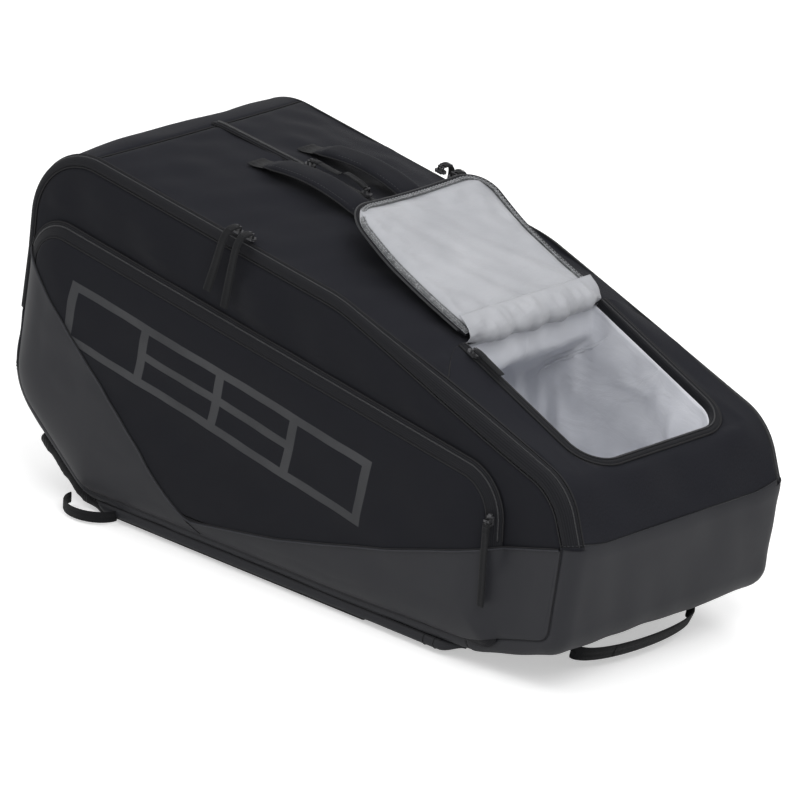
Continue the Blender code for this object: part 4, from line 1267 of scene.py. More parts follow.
def shoe_flap():
    """The flap: black fabric outside, padded lining inside, a bound edge and its half of the zip."""
    opened = flap_frame(FLAP_OPEN)
    path, _ = u_path(0.0, 0.004)
    back = np.column_stack([np.full(58, 0.004), np.linspace(path[-1, 1], path[0, 1], 60)[1:-1]])
    loop = np.vstack([path, back])

    def place(grid, z):
        z = z + flap_bend(grid[..., 0], grid[..., 1])
        return placed(np.stack([grid[..., 0], grid[..., 1], z], -1), opened)

    rings = np.concatenate([[0.0, 0.012, 0.03, 0.055, 0.085], np.linspace(0.12, 0.97, 34)])
    grid = flap_grid(loop, rings, 0.100)
    free_edge = np.minimum(FLAP_HALF_WIDTH - np.abs(grid[..., 1]), FLAP_LENGTH - grid[..., 0])
    share = np.broadcast_to(rings[:, None], free_edge.shape)
    rise = smooth(free_edge / 0.017)
    p = np.stack([grid[..., 0], grid[..., 1], 0 * share], -1)
    # Long soft folds run from the free corner to the hinge, with short ones at the binding.
    fold_along, fold_across = p @ np.array([0.50, 0.86, 0.0]), p @ np.array([0.86, -0.50, 0.0])
    slant = np.stack([fold_along, 0.28 * fold_across, 0 * share], -1)
    folds = ripple(slant, 0.060, 71) + 0.5 * ripple(slant, 0.026, 72)
    short = ripple(p, 0.018, 73)
    wrinkled = 1 - smooth((share - 0.2) / 0.3)
    lining_z = -FLAP_BODY - rise * (0.0065 + 0.0016 * folds + 0.0007 * wrinkled * short)
    lining = sheet("flap_lining", place(grid, lining_z), grid, LINING, wrap=True, cap=True,
                   thickness=0.0008,
                   out=lambda c: np.tile([0.0, 0.0, 1.0], (len(c), 1)))
    outer_z = -0.0006 - 0.0006 * rise * ripple(p, 0.06, 74)
    outer = sheet("flap_outer", place(grid, outer_z), grid, BLACK, wrap=True, cap=True, thickness=0.0012,
                  out=lambda c: np.tile([0.0, 0.0, -1.0], (len(c), 1)))
    stand_in(lining, "flap", "shoe_flap")
    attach(outer, "flap")
    # Bound edge: a folded tape round the three free sides.
    rows = []
    for margin, z in ((-0.0060, -FLAP_BODY - 0.0030), (-0.0058, -FLAP_BODY - 0.0038),
                      (-0.0030, -FLAP_BODY - 0.0036), (-0.0008, -FLAP_BODY - 0.0020),
                      (0.0000, -FLAP_BODY + 0.0004), (0.0001, -0.0016), (-0.0006, -0.0004),
                      (-0.0030, 0.0000), (-0.0058, -0.0002)):
        u, _ = u_path(margin, 0.004)
        rows.append(place(u, np.full(len(u), z)))
    points = np.stack(rows)
    for name, part, material in (("flap_binding", points[:5], LINING_BINDING),
                                 ("flap_edge_tape", points[4:], TAPE)):
        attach(sheet(name, part, metres_of(part), material, thickness=0.0007), "flap")
    rows = []
    for margin, z in ((-0.0004, -0.0030), (0.0012, -0.0024), (0.0030, -0.0024), (0.0044, -0.0028),
                      (0.0044, -0.0040), (0.0012, -0.0042), (-0.0004, -0.0040)):
        u, _ = u_path(margin, 0.010)
        rows.append(place(u, np.full(len(u), z)))
    points = np.stack(rows)
    tape = sheet("flap_zip_tape", points, metres_of(points), TAPE, thickness=0)
    stand_in(tape, "flap", "flap_zip_half")
    u, _ = u_path(0.0040, 0.012)
    teeth = tube("flap_zip_coil", place(u, np.full(len(u), -0.0033)), 0.0010, COIL, sides=8)
    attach(teeth, "flap")
    for label, margin, z in (("inner", -0.0050, -FLAP_BODY - 0.0040),
                             ("outer", -0.0022, -FLAP_BODY - 0.0035)):
        u, _ = u_path(margin, 0.008)
        line = place(u, np.full(len(u), z))
        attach(stitches(f"flap_stitches_{label}", line, PALE_THREAD, lambda p: np.array([0.0, 0.0, 1.0])),
                "flap")


def hinge_roll():
    """The lining's roll over the hinge, from the open flap down to the compartment's back wall."""
    across = np.linspace(-FLAP_HALF_WIDTH + 0.001, FLAP_HALF_WIDTH - 0.001, 110)
    # The roll in the opening's frame: distance down the slope from the hinge, and height.
    corners = np.array([(-0.0200, 0.0150), (-0.0120, 0.0158), (-0.0030, 0.0150), (0.0060, 0.0115),
                        (0.0105, 0.0050), (0.0100, -0.0020), (0.0060, -0.0080), (0.0010, -0.0125),
                        (-0.0020, -0.0180), (-0.0030, -0.0260)])
    path = curve_through(corners, 44)
    centre = np.array([0.0, 0.0020])
    out = path - centre
    out = unit(out)
    ends = smooth((np.abs(across) - 0.070) / 0.026)
    share = np.linspace(0, 1, len(path))
    body = np.sin(math.pi * np.clip(share, 0, 1)) ** 0.6
    grid = np.stack(np.broadcast_arrays(path[:, None, 0], across[None, :]), -1)
    pucker = ripple(np.stack([grid[..., 0] * 0.25, grid[..., 1], 0 * grid[..., 0]], -1), 0.026, 81)
    pucker += 0.7 * ripple(np.stack([grid[..., 0] * 0.5, grid[..., 1], 0 * grid[..., 0]], -1), 0.012, 82)
    size = (0.0015 * pucker - 0.0085 * ends[None, :]) * body[:, None]
    flat = np.stack([path[:, None, 0] + out[:, None, 0] * size, np.broadcast_to(across, size.shape),
                     path[:, None, 1] + out[:, None, 1] * size], -1)
    points = placed(flat, OPENING_FRAME)
    roll = sheet("hinge_lining", points, metres_of(points), LINING, thickness=0.0008,
                 out=lambda c: (c - placed(np.zeros(3), OPENING_FRAME)) * [1, 0, 1])
    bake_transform(roll)


shoe_rim()
shoe_tub()
shoe_flap()
hinge_roll()

# ---------------------------------------------------------------- zips, sliders and pullers

TOP_OUT = np.array([0.137, 0.0, 0.9906])  # out of the top at the main zips
MID_OUT = np.array([0.1042, 0.0, 0.9946])  # out of the top at the centre zip
JOINTS = {joint["name"]: joint for joint in frame["joints"]}


def on_top(x, y, rise=0.0):
    """Points on the bag's top, under (x, y), lifted off it by rise."""
    x, y, rise = np.broadcast_arrays(np.asarray(x, float), np.asarray(y, float), np.asarray(rise, float))
    q_fine = np.linspace(4 * CORNER_Q + 1, 7 * CORNER_Q + 4, 900)
    found = []
    for x_one, y_one, rise_one in zip(x.ravel(), y.ravel(), rise.ravel()):
        k_fine = y_one / (HALF_WIDTH - edge_radius(q_fine))
        q = np.interp(x_one, skin(q_fine, k_fine)[:, 0], q_fine)
        k = y_one / (HALF_WIDTH - edge_radius(np.array(q)))
        found.append(skin(q, k) + skin_normal(np.array(q), np.array(k)) * rise_one)
    return np.array(found).reshape(*x.shape, 3)


def pocket_zip(sign, name):
    """The coil and seam cords of a side pocket's zip, from the head end's coated fabric to its slider."""
    q = np.linspace(0, CORNER_Q * len(POCKET), 900)[:-1]
    line = outline(POCKET, q)
    free = line[:, 1] > np.interp(line[:, 0], COATED_EDGE[:, 0], COATED_EDGE[:, 1]) + 0.006
    first = int(np.argmax(free & ~np.roll(free, 1)))
    q, free = np.roll(q, -first), np.roll(free, -first)
    q = q[:int(np.argmin(free))]
    for label, inset, rise, radius, material in (("coil", 0.0043, -0.0004, 0.0009, COIL),
                                                 ("cord", 0.0155, -0.0009, 0.0009, PIPING),
                                                 ("edge", 0.0003, 0.0002, 0.0009, PIPING)):
        flat = outline(POCKET, q) + inward(POCKET, q) * inset
        distance = np.full(len(q), inset)
        height = pocket_height(distance, flat[:, 0], flat[:, 1]) + rise
        piece = tube(f"{name}_pocket_{label}", place_side(flat, height, sign), radius, material, sides=8)
        fold(piece)
        if label == "coil":
            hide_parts(f"{name}_pocket_zip")


def centre_zip():
    q_from = first_index(MID, 4, lambda p: (p[:, 0] >= -0.285) & (p[:, 1] > 0.3))
    q_to = first_index(MID, 5, lambda p: p[:, 0] >= 0.120)
    q, y = np.meshgrid(np.linspace(q_from, q_to, 150), np.linspace(-0.0055, 0.0055, 13), indexing="ij")
    k = y / (HALF_WIDTH - edge_radius(q))
    rise = 0.0022 - 0.0020 * smooth((np.abs(y) - 0.0044) / 0.0011) - 0.0007 * np.exp(-(y / 0.0022) ** 2)
    points = skin(q, k) + skin_normal(q, k) * rise[..., None]
    tape = sheet("centre_zip_tape", points, np.stack([arc_length(points[:, 6])[:, None] + 0 * y, y], -1),
                 TAPE,
                 out=from_middle, thickness=0.0008)
    stand_in(tape, "bag", "centre_zip")
    teeth = tube("centre_zip_coil", skin_line(q_from + 0.1, q_to - 0.1, 420, 0.0, 0.0024), 0.0010, COIL,
                 sides=8, flatten=1.7)
    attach(teeth, "bag")
    for label, edge in (("near", -1), ("far", 1)):
        q = np.linspace(q_from, q_to, 200)
        k = edge * 0.0062 / (HALF_WIDTH - edge_radius(q))
        line = skin(q, k) + skin_normal(q, k) * 0.0004
        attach(tube(f"centre_zip_cord_{label}", line, 0.0007, PIPING, sides=6), "bag")


def puller(body, out, away, path, width, splay=0.0, curl=0.0):
    """A webbing puller on its slider's pull bar: a wire eye, a stitched fold and the free tail."""
    origin = np.array(JOINTS[f"{body}_swings"]["pos_m"])
    z = np.asarray(out, float)
    z = unit(z)
    y = np.asarray(away, float) - z * (np.asarray(away, float) @ z)
    y = unit(y)
    x = np.cross(y, z)
    axes = np.stack([x, y, z])
    line = curve_through([(a, b) for a, b in path], 46)
    run = arc_length(line)
    share = run / run[-1]
    side = splay * share ** 1.6
    local = np.column_stack([side, line])
    points = origin + local @ axes
    twist = curl * share ** 2
    step = np.gradient(local, axis=0)
    step = unit(step)
    lift = np.cross(step, np.tile([1.0, 0, 0], (len(step), 1)))
    across = (np.cos(twist)[:, None] * np.array([1.0, 0, 0]) + np.sin(twist)[:, None] * lift) @ axes
    fold_end = 0.0125
    thick = np.where(run < fold_end, 0.0027, 0.0016) - 0.0004 * smooth((run - run[-1] + 0.0015) / 0.0015)
    tail = width * (1 - 0.10 * smooth((run - run[-1] + 0.002) / 0.002))
    strap = ribbon(f"{body}_webbing", points, across, tail, thick, WEBBING)
    stand_in(strap, body, body)
    angle = np.linspace(0, 2 * math.pi, 25)[:-1]
    eye = np.column_stack([0 * angle, 0.0011 + 0.0024 * np.cos(angle), 0.0019 * np.sin(angle)])
    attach(tube(f"{body}_eye", origin + eye @ axes, 0.00055, METAL_CORD, sides=8, closed=True), body)
    at = int(np.argmin(np.abs(run - 0.0108)))
    normal = np.cross(np.gradient(points, axis=0)[at], across[at])
    normal = unit(normal)
    if normal @ z < 0:
        normal = -normal
    for label, place in (("a", 0.0045), ("b", 0.0108)):
        at = int(np.argmin(np.abs(run - place)))
        seam = points[at] + np.linspace(-0.4, 0.4, 12)[:, None] * width * across[at] + normal * 0.00145
        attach(stitches(f"{body}_stitch_{label}", seam, THREAD, lambda p: normal, length=0.0013,
                         gap=0.0005,
                         radius=0.00026), body)


METAL_CORD = painted_metal("Puller_eye")

for side_sign, side_name in BOTH_SIDES:
    pocket_zip(side_sign, side_name)
    for tag, drop, lean in (("a", 0.072, 0.010), ("b", 0.080, 0.002)):
        puller_body = f"{side_name}_main_puller_{tag}"
        puller(puller_body, TOP_OUT, (0, side_sign, 0),
               [(0.0022, 0.0004), (0.0080, 0.0004), (0.0135, -0.0015), (0.0175, -0.0070), (0.0198, -0.0160),
                (0.0212, -0.0400), (0.0222, -drop)], 0.0095, splay=-side_sign * lean, curl=side_sign * 0.30)
    puller(f"{side_name}_pocket_puller", (0, side_sign, 0), (0, 0, -1),
           [(0.0022, 0.0), (0.012, 0.0006), (0.040, 0.0010), (0.070, 0.0002), (0.092, -0.0004)], 0.0092,
           splay=0.003)
centre_zip()
puller("centre_puller_a", MID_OUT, (1, 0, 0),
       [(0.0022, 0.0004), (0.0120, 0.0016), (0.0300, 0.0012), (0.0430, 0.0012)], 0.0082)
puller("centre_puller_b", MID_OUT, (-1, 0, 0),
       [(0.0022, 0.0008), (0.0120, 0.0034), (0.0240, 0.0054), (0.0320, 0.0058)], 0.0082)
puller("shoe_puller", (math.sin(FLAP_SLOPE), 0, math.cos(FLAP_SLOPE)),
       (math.cos(FLAP_SLOPE), 0, -math.sin(FLAP_SLOPE)),
       [(0.0022, 0.0004), (0.010, 0.0012), (0.026, 0.0010), (0.042, 0.0006)], 0.0078)
for node_name, node in frame["nodes"].items():
    if node_name.endswith(("slider", "slider_a", "slider_b")):
        node.data.materials.clear()
        node.data.materials.append(METAL)

# ---------------------------------------------------------------- handles, loops and webbing


def box_stitch(name, body, centre, along, across, size, normal):
    """A square of stitches with one diagonal across it."""
    a, b = along * size[0] / 2, across * size[1] / 2
    corners = [centre - a - b, centre + a - b, centre + a + b, centre - a + b, centre - a - b,
               centre + a + b]
    sides = zip(corners[:-1], corners[1:])
    path = np.vstack([np.linspace(p, q, 12)[:-1] for p, q in sides] + [corners[-1][None]])
    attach(stitches(name, path, THREAD, lambda p: normal, length=0.0022, gap=0.0010, radius=0.0003), body)


def grab_handle(sign, name):
    """A padded grip on its webbing, which is sewn down at both ends and lifts with the grip between."""
    y = sign * HANDLE_Y
    body = f"{name}_grip"
    x = np.linspace(*GRIP_X, 61)
    share = (x - GRIP_X[0]) / (GRIP_X[1] - GRIP_X[0])
    taper = np.minimum(1, np.minimum(x - GRIP_X[0], GRIP_X[1] - x) / GRIP_TAPER)
    middle = on_top(x, y, 0.0072 + 0.0085 * np.sin(math.pi * share))
    angle = np.linspace(0, 2 * math.pi, 41)[:-1]
    half_width = 0.0160 - 0.0022 * (1 - smooth(taper))
    crown = 0.0024 + 0.0036 * smooth(taper)
    belly = 0.0018 + 0.0010 * smooth(taper)
    c, s = np.cos(angle), np.sin(angle)
    rim = np.sign(c) * np.abs(c) ** 0.62
    lift = np.sign(s) * np.abs(s) ** 0.9
    step = np.gradient(middle, axis=0)
    step = unit(step)
    up = np.cross(step, [0, 1.0, 0])
    up *= np.sign(up[:, 2:3])
    height = np.where(lift > 0, crown[:, None] * lift, belly[:, None] * lift)
    points = middle[:, None] + np.array([0, 1.0, 0]) * (half_width[:, None] * rim)[..., None]
    points += up[:, None] * height[..., None]
    points += up[:, None] * (0.0005 * ripple(points, 0.03, 91) * np.clip(lift, 0, 1))[..., None]
    length = arc_length(middle)
    uvs = np.stack(np.broadcast_arrays(length[:, None], (angle * 0.011)[None]), -1)
    sides = len(angle)
    faces = grid_faces(len(x), sides, wrap=True) + end_faces(len(x), sides)
    grip = object_of(f"{name}_grip_pad", points.reshape(-1, 3), faces, uvs.reshape(-1, 2), GRIP)
    outward_mesh(grip)
    stand_in(grip, body, f"{name}_handle_grip")
    for label, edge in (("inner", -1), ("outer", 1)):
        row = middle[2:-2] + np.array([0, edge, 0]) * (half_width[2:-2, None] - 0.0030)
        row += up[2:-2] * (crown[2:-2, None] * 0.62)
        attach(stitches(f"{name}_grip_stitches_{label}", row, THREAD, lambda p: np.array([0.1, 0, 1.0])),
                body)
        cord = middle + np.array([0, edge, 0]) * half_width[:, None]
        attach(tube(f"{name}_grip_edge_{label}", cord, 0.0009, PIPING, sides=8), body)
    for label, x_from, x_to, fixed, free in (("head", -0.190, -0.156, -0.186, -0.163),
                                             ("shoe", 0.060, -0.038, 0.044, -0.026)):
        x = np.linspace(x_from, x_to, 40)
        rise = 0.0018 + 0.0052 * smooth((x - fixed) / (x_to - fixed))
        line = on_top(x, y, rise)
        strap = ribbon(f"{name}_handle_webbing_{label}", line, np.tile([0, 1.0, 0], (len(x), 1)), 0.0250,
                       0.0021, WEBBING)
        ends = on_top([fixed, free], [y, y])
        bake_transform(strap)
        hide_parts(f"{name}_handle_tab_{label}")
        toward = math.copysign(1, x_to - x_from)
        spot = on_top(x_from + toward * 0.011, y, 0.0031)
        slope = on_top(x_from + toward * 0.020, y) - on_top(x_from, y)
        slope = unit(slope)
        box_stitch(f"{name}_handle_stitch_{label}", "bag", spot, slope, np.array([0, 1.0, 0]),
                   (0.015, 0.018),
                   np.array([0.1, 0.0, 1.0]))


def outward_mesh(obj):
    """Turns a closed mesh's faces outwards."""
    mesh = bmesh.new()
    mesh.from_mesh(obj.data)
    bmesh.ops.recalc_face_normals(mesh, faces=mesh.faces)
    mesh.to_mesh(obj.data)
    mesh.free()


def end_handle():
    """The drag handle under the shoe end."""
    pivot = np.array(JOINTS["end_handle_swings"]["pos_m"])
    pivot[1] = 0.006
    angle = np.linspace(0, math.pi, 70)
    run = np.sin(angle) ** 0.8
    points = np.column_stack([pivot[0] + 0.024 * run, pivot[1] - 0.086 * np.cos(angle),
                              pivot[2] - 0.0055 * run])
    across = np.tile([0.5, 0, 1.0], (len(points), 1))
    handle = ribbon("end_handle_webbing", points, across, 0.0180, 0.0024, WEBBING)
    stand_in(handle, "end_handle", "end_handle")
    middle = slice(22, 48)
    wrap = ribbon("end_handle_fold", points[middle] + [0.0013, 0, 0.0002], across[middle], 0.0150, 0.0016,
                  WEBBING)
    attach(wrap, "end_handle")


def corner_loop(sign, name):
    angle = np.linspace(0, math.pi, 50)
    points = np.column_stack([-0.289 - 0.034 * np.cos(angle), sign * (0.1520 + 0.028 * np.sin(angle)),
                              np.full(50, 0.0072)])
    loop = ribbon(f"{name}_corner_webbing", points, np.tile([0, 0, 1.0], (50, 1)), 0.0120, 0.0018, WEBBING)
    stand_in(loop, "bag", f"{name}_corner_loop")


GRIP = black_fabric("Grip_fabric", tone=1.05)
for side_sign, side_name in BOTH_SIDES:
    grab_handle(side_sign, side_name)
    corner_loop(side_sign, side_name)
end_handle()

# ---------------------------------------------------------------- padding


def box_uvs(obj, axes=(0, 1)):
    """Metres UVs from the rest shape, along two axes."""
    mesh = obj.data
    co = np.zeros(len(mesh.vertices) * 3, np.float32)
    mesh.vertices.foreach_get("co", co)
    index = np.zeros(len(mesh.loops), np.int32)
    mesh.loops.foreach_get("vertex_index", index)
    layer = mesh.uv_layers.get("Metres") or mesh.uv_layers.new(name="Metres")
    layer.data.foreach_set("uv", co.reshape(-1, 3)[index][:, list(axes)].ravel())


def puffed(name, node, material, voxel, inset, cap, quilt=None, axes=(0, 1), pressure=4.0):
    """Cloth-simulated padding from a CAD solid: it starts inset, swells, and moves no further than cap."""
    mesh = frame["nodes"][node].data.copy()
    obj = bpy.data.objects.new(name, mesh)
    bpy.context.scene.collection.objects.link(obj)
    mesh.materials.clear()
    mesh.materials.append(material)
    bpy.context.view_layer.objects.active = obj
    weld = bmesh.new()
    weld.from_mesh(mesh)
    bmesh.ops.remove_doubles(weld, verts=weld.verts, dist=1e-5)
    weld.to_mesh(mesh)
    weld.free()
    remesh = obj.modifiers.new("Remesh", "REMESH")
    remesh.mode = "VOXEL"
    remesh.voxel_size = voxel
    bake(obj)
    mesh = obj.data
    count = len(mesh.vertices)
    co = np.zeros(count * 3, np.float32)
    mesh.vertices.foreach_get("co", co)
    normal = np.zeros(count * 3, np.float32)
    mesh.vertices.foreach_get("normal", normal)
    start = co.reshape(-1, 3) - normal.reshape(-1, 3) * inset
    mesh.vertices.foreach_set("co", start.astype(np.float32).ravel())
    cloth = obj.modifiers.new("Cloth", "CLOTH")
    settings = cloth.settings
    settings.quality = 4
    settings.mass = 0.2
    settings.use_pressure = True
    settings.uniform_pressure_force = pressure
    settings.tension_stiffness = settings.compression_stiffness = 12
    settings.bending_stiffness = 1.2
    settings.effector_weights.gravity = 0
    cloth.collision_settings.use_collision = False
    cloth.point_cache.frame_start, cloth.point_cache.frame_end = 1, 20
    scene = bpy.context.scene
    for step in range(1, 21):
        scene.frame_set(step)
    bake(obj)
    scene.frame_set(1)
    mesh = obj.data
    mesh.vertices.foreach_get("co", co)
    move = co.reshape(-1, 3) - start
    far = np.linalg.norm(move, axis=1, keepdims=True)
    moved = start + move * np.minimum(1, cap / np.maximum(far, 1e-9))
    if quilt is not None:
        moved = quilt(moved, normal.reshape(-1, 3))
    mesh.vertices.foreach_set("co", moved.astype(np.float32).ravel())
    relax = obj.modifiers.new("Relax", "SMOOTH")
    relax.factor, relax.iterations = 0.5, 3
    fine = obj.modifiers.new("Fine", "SUBSURF")
    fine.levels = fine.render_levels = 1
    bake(obj)
    box_uvs(obj, axes)
    obj.data.shade_smooth()
    return obj


def bake(obj):
    """Applies all of an object's modifiers."""
    graph = bpy.context.evaluated_depsgraph_get()
    made = bpy.data.meshes.new_from_object(obj.evaluated_get(graph))
    obj.modifiers.clear()
    obj.data = made


def panel_quilt(points, normal):
    """Channels pressed across the back panel's rib and rim."""
    down = normal[:, 2:3] < -0.5
    channel = np.exp(-((np.abs(np.mod(points[:, 0] + 0.30, 0.062) - 0.031) - 0.031) / 0.0030) ** 2)[:, None]
    middle = np.exp(-(points[:, 1:2] / 0.0105) ** 4)
    lift = np.array([0, 0, 0.0018]) * channel * middle * down
    return points + lift


def strap_pad_quilt(points, normal):
    """Channels pressed across a strap pad."""
    along = np.mod(points[:, 0] + 0.115, 0.049)
    channel = np.exp(-((along - 0.0245) / 0.0022) ** 2)[:, None]
    return points - normal * 0.0011 * channel * (np.abs(normal[:, 2:3]) > 0.5)


def strap_line(x, sign):
    share = (x - STRAP_X[0]) / (STRAP_X[1] - STRAP_X[0])
    return np.column_stack([x, sign * (0.098 - 0.052 * np.sin(math.pi * share)), np.full(len(x), 0.0048)])


def shoulder_strap(sign, name):
    """Padded strap, its ladder lock and the webbing that runs on from it."""
    body = f"{name}_strap"
    pad = puffed(f"{name}_strap_cushion", f"{name}_strap_pad", MESH, 0.004, 0.0006, 0.0014, strap_pad_quilt)
    stand_in(pad, body, f"{name}_strap_pad")
    x = np.linspace(*STRAP_PAD_X, 90)
    middle = strap_line(x, sign)
    step = np.gradient(middle, axis=0)
    step = unit(step)
    across = np.cross([0, 0, 1.0], step)
    for label, edge in (("inner", -1), ("outer", 1)):
        row = middle + across * edge * 0.0262 - [0, 0, 0.0030]
        bind = ribbon(f"{name}_strap_binding_{label}", middle + across * edge * 0.0276,
                      np.tile([0, 0, 1.0], (len(x), 1)),
                      0.0062, 0.0010, WEBBING)
        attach(bind, body)
        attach(stitches(f"{name}_strap_stitches_{label}", row, THREAD, lambda p: np.array([0, 0, -1.0])),
                body)
    x = np.linspace(STRAP_X[0], -0.1265, 50)
    tail = strap_line(x, sign)
    webbing = ribbon(f"{name}_strap_tail", tail, np.tile([0, 1.0, 0], (len(x), 1)), 0.0245, 0.0017, WEBBING)
    stand_in(webbing, body, f"{name}_strap_webbing")
    low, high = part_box(f"{name}_strap_ladder_lock")
    centre, half = (low + high) / 2, (high - low) / 2
    angle = np.linspace(0, 2 * math.pi, 49)[:-1]
    rim = np.column_stack([(half.x - 0.0024) * np.sign(np.cos(angle)) * np.abs(np.cos(angle)) ** 0.35,
                           (half.y - 0.0024) * np.sign(np.sin(angle)) * np.abs(np.sin(angle)) ** 0.35,
                           0 * angle])
    lock = tube(f"{name}_ladder_lock_frame", rim + np.array(centre), 0.0023, PLASTIC, closed=True, sides=12)
    stand_in(lock, body, f"{name}_strap_ladder_lock")
    across = np.linspace(-half.y + 0.003, half.y - 0.003, 14)
    for label, shift in (("front", -0.0030), ("back", 0.0036)):
        bar = np.array(centre) + np.column_stack([np.full(14, shift), across, np.full(14, -0.0006)])
        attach(tube(f"{name}_ladder_lock_bar_{label}", bar, 0.0017, PLASTIC, sides=12), body)


def back_padding():
    panel = puffed("back_cushion", "back_panel", MESH, 0.0050, 0.0006, 0.0010, panel_quilt)
    low_z = 0.0002
    count = len(panel.data.vertices)
    co = np.zeros(count * 3, np.float32)
    panel.data.vertices.foreach_get("co", co)
    co = co.reshape(-1, 3)
    co[:, 2] = np.maximum(co[:, 2], low_z)
    panel.data.vertices.foreach_set("co", co.ravel())
    stand_in(panel, "bag", "back_panel")
    for sign, name in BOTH_SIDES:
        edge_roll(sign, name)


def edge_roll(sign, name):
    """The back panel's padded edge: a roll of coated fabric along the base, with a cord and end seams."""
    q = np.linspace(CORNER_Q + ARC_Q, 0, 2000)
    flat = outline(SIDE, q) - inward(SIDE, q) * 0.0044
    flat = flat[(flat[:, 0] > ROLL_X[0]) & (flat[:, 0] < ROLL_X[1])]
    run = arc_length(flat)
    wanted = np.linspace(0, run[-1], 190)
    path = np.column_stack([np.interp(wanted, run, flat[:, 0]), np.full(190, sign * 0.1480),
                            np.interp(wanted, run, flat[:, 1])])
    run = wanted
    taper = smooth(np.minimum(run, run[-1] - run) / 0.030)
    path[:, 1] -= sign * 0.006 * (1 - taper)
    path[:, 2] += 0.004 * (1 - taper)
    soft = 1 + 0.03 * ripple(path, 0.05, 95)
    size = (0.30 + 0.70 * taper) * soft
    roll = tube(f"{name}_base_roll", path, ROLL_RADIUS, COATED, sides=20, bead=lambda i: size[i])
    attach(roll, "bag")
    cord = path[taper > 0.9] + np.array([0, sign * 0.0030, 0.0054])
    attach(tube(f"{name}_base_cord", cord, 0.0008, PIPING, sides=8), "bag")
    for label, back in (("a", 0.034), ("b", 0.048)):
        at = int(np.argmin(np.abs(run - (run[-1] - back))))
        angle = np.linspace(-0.5 * math.pi, 0.5 * math.pi, 16)
        arc = np.column_stack([0 * angle, sign * np.cos(angle), np.sin(angle)])
        ring = path[at] + 0.0064 * size[at] * arc
        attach(tube(f"{name}_base_seam_{label}", ring, 0.0005, PIPING, sides=6), "bag")


def divider(name):
    """A thin padded wall between the racket compartments, bound along its edge."""
    low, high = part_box(f"{name}_divider")
    middle_y = (low.y + high.y) / 2
    q = np.linspace(0, FULL_TURN, 400)[:-1]
    line = outline(MID, q) + inward(MID, q) * 0.035
    line[:, 0] = np.minimum(line[:, 0], high.x - 0.001)
    line[:, 1] = np.clip(line[:, 1], low.z + 0.001, high.z - 0.001)
    line = line[np.linalg.norm(line - np.roll(line, 1, 0), axis=1) > 0.0004]
    centre = np.array([-0.18, 0.19])
    share = np.linspace(0, 0.98, 34)[:, None, None]
    flat = line[None] * (1 - share) + centre * share
    p = np.stack([flat[..., 0], 0 * flat[..., 0], flat[..., 1]], -1)
    puff = smooth(share[..., 0] / 0.06) * (0.0012 + 0.0004 * ripple(p, 0.08, 51))
    for label, face in (("inner", -1), ("outer", 1)):
        y = middle_y + face * puff
        points = np.stack([flat[..., 0], y, flat[..., 1]], -1)
        wall = sheet(f"{name}_divider_{label}", points, flat, INNER, out=sideways(face), thickness=0,
                     wrap=True, cap=True)
        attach(wall, "bag")
        if face < 0:
            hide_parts(f"{name}_divider")
    edge = np.column_stack([line[:, 0], np.full(len(line), middle_y), line[:, 1]])
    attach(tube(f"{name}_divider_binding", edge, 0.0014, PIPING, sides=8, closed=True), "bag")


back_padding()
for side_sign, side_name in BOTH_SIDES:
    shoulder_strap(side_sign, side_name)
    divider(side_name)

# ---------------------------------------------------------------- studio


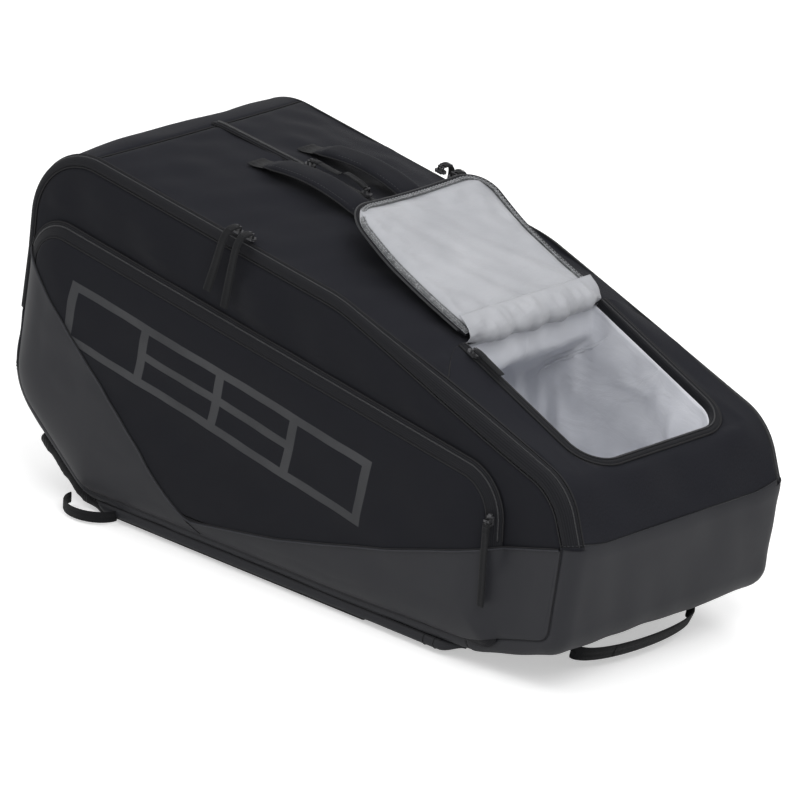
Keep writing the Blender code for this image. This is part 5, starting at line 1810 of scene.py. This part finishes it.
def studio():
    floor_mesh = bpy.data.meshes.new("Floor")
    size = 60.0
    floor_mesh.from_pydata([(-size, -size, 0), (size, -size, 0), (size, size, 0), (-size, size, 0)], [],
                           [(0, 1, 2, 3)])
    floor = bpy.data.objects.new("Floor", floor_mesh)
    floor.location.z = CAD_BOX[0].z - 0.002
    bpy.context.scene.collection.objects.link(floor)
    material = bpy.data.materials.new("Floor")
    material.use_nodes = True
    shader = material.node_tree.nodes["Principled BSDF"]
    shader.inputs["Base Color"].default_value = (0.86, 0.86, 0.86, 1)
    shader.inputs["Roughness"].default_value = 0.9
    shader.inputs["Emission Color"].default_value = (1, 1, 1, 1)
    rays = material.node_tree.nodes.new("ShaderNodeLightPath")
    glow = material.node_tree.nodes.new("ShaderNodeMath")
    glow.operation = "MULTIPLY"
    glow.inputs[1].default_value = 0.45
    material.node_tree.links.new(rays.outputs["Is Camera Ray"], glow.inputs[0])
    material.node_tree.links.new(glow.outputs[0], shader.inputs["Emission Strength"])
    floor_mesh.materials.append(material)
    world = bpy.data.worlds.new("Studio")
    world.use_nodes = True
    world.node_tree.nodes["Background"].inputs[0].default_value = (1.0, 1.0, 1.0, 1)
    world.node_tree.nodes["Background"].inputs[1].default_value = 0.52
    bpy.context.scene.world = world
    for name, place, size, power in (("Key", (-1.6, -1.8, 2.6), 1.8, 20), ("Top", (0.2, 0.6, 2.6), 2.4, 22),
                                     ("Front", (2.0, -1.3, 2.4), 1.4, 40)):
        data = bpy.data.lights.new(name, "AREA")
        data.size = size
        data.energy = power
        light = bpy.data.objects.new(name, data)
        light.location = place
        light.rotation_mode = "QUATERNION"
        light.rotation_quaternion = (Vector(place) - Vector((0, 0, 0.15))).to_track_quat("Z", "Y")
        bpy.context.scene.collection.objects.link(light)


def camera():
    azimuth, elevation, roll = (math.radians(v) for v in (43.1211, 20.5968, 2.9342))
    back = Vector((math.sin(azimuth) * math.cos(elevation), -math.cos(azimuth) * math.cos(elevation),
                   math.sin(elevation)))
    right = Vector((math.cos(azimuth), math.sin(azimuth), 0))
    up = back.cross(right)
    tilted = right * math.cos(roll) + up * math.sin(roll)
    matrix = Matrix((tilted, back.cross(tilted), back)).transposed().to_4x4()
    matrix.translation = (5.88037, -6.28401, 3.40899)
    data = bpy.data.cameras.new("Camera")
    data.lens = 405.0
    data.sensor_width = 36.0
    data.clip_end = 200.0
    made = bpy.data.objects.new("Camera", data)
    made.matrix_world = matrix
    bpy.context.scene.collection.objects.link(made)
    bpy.context.scene.camera = made


bpy.context.scene.view_settings.view_transform = "Standard"
studio()
camera()
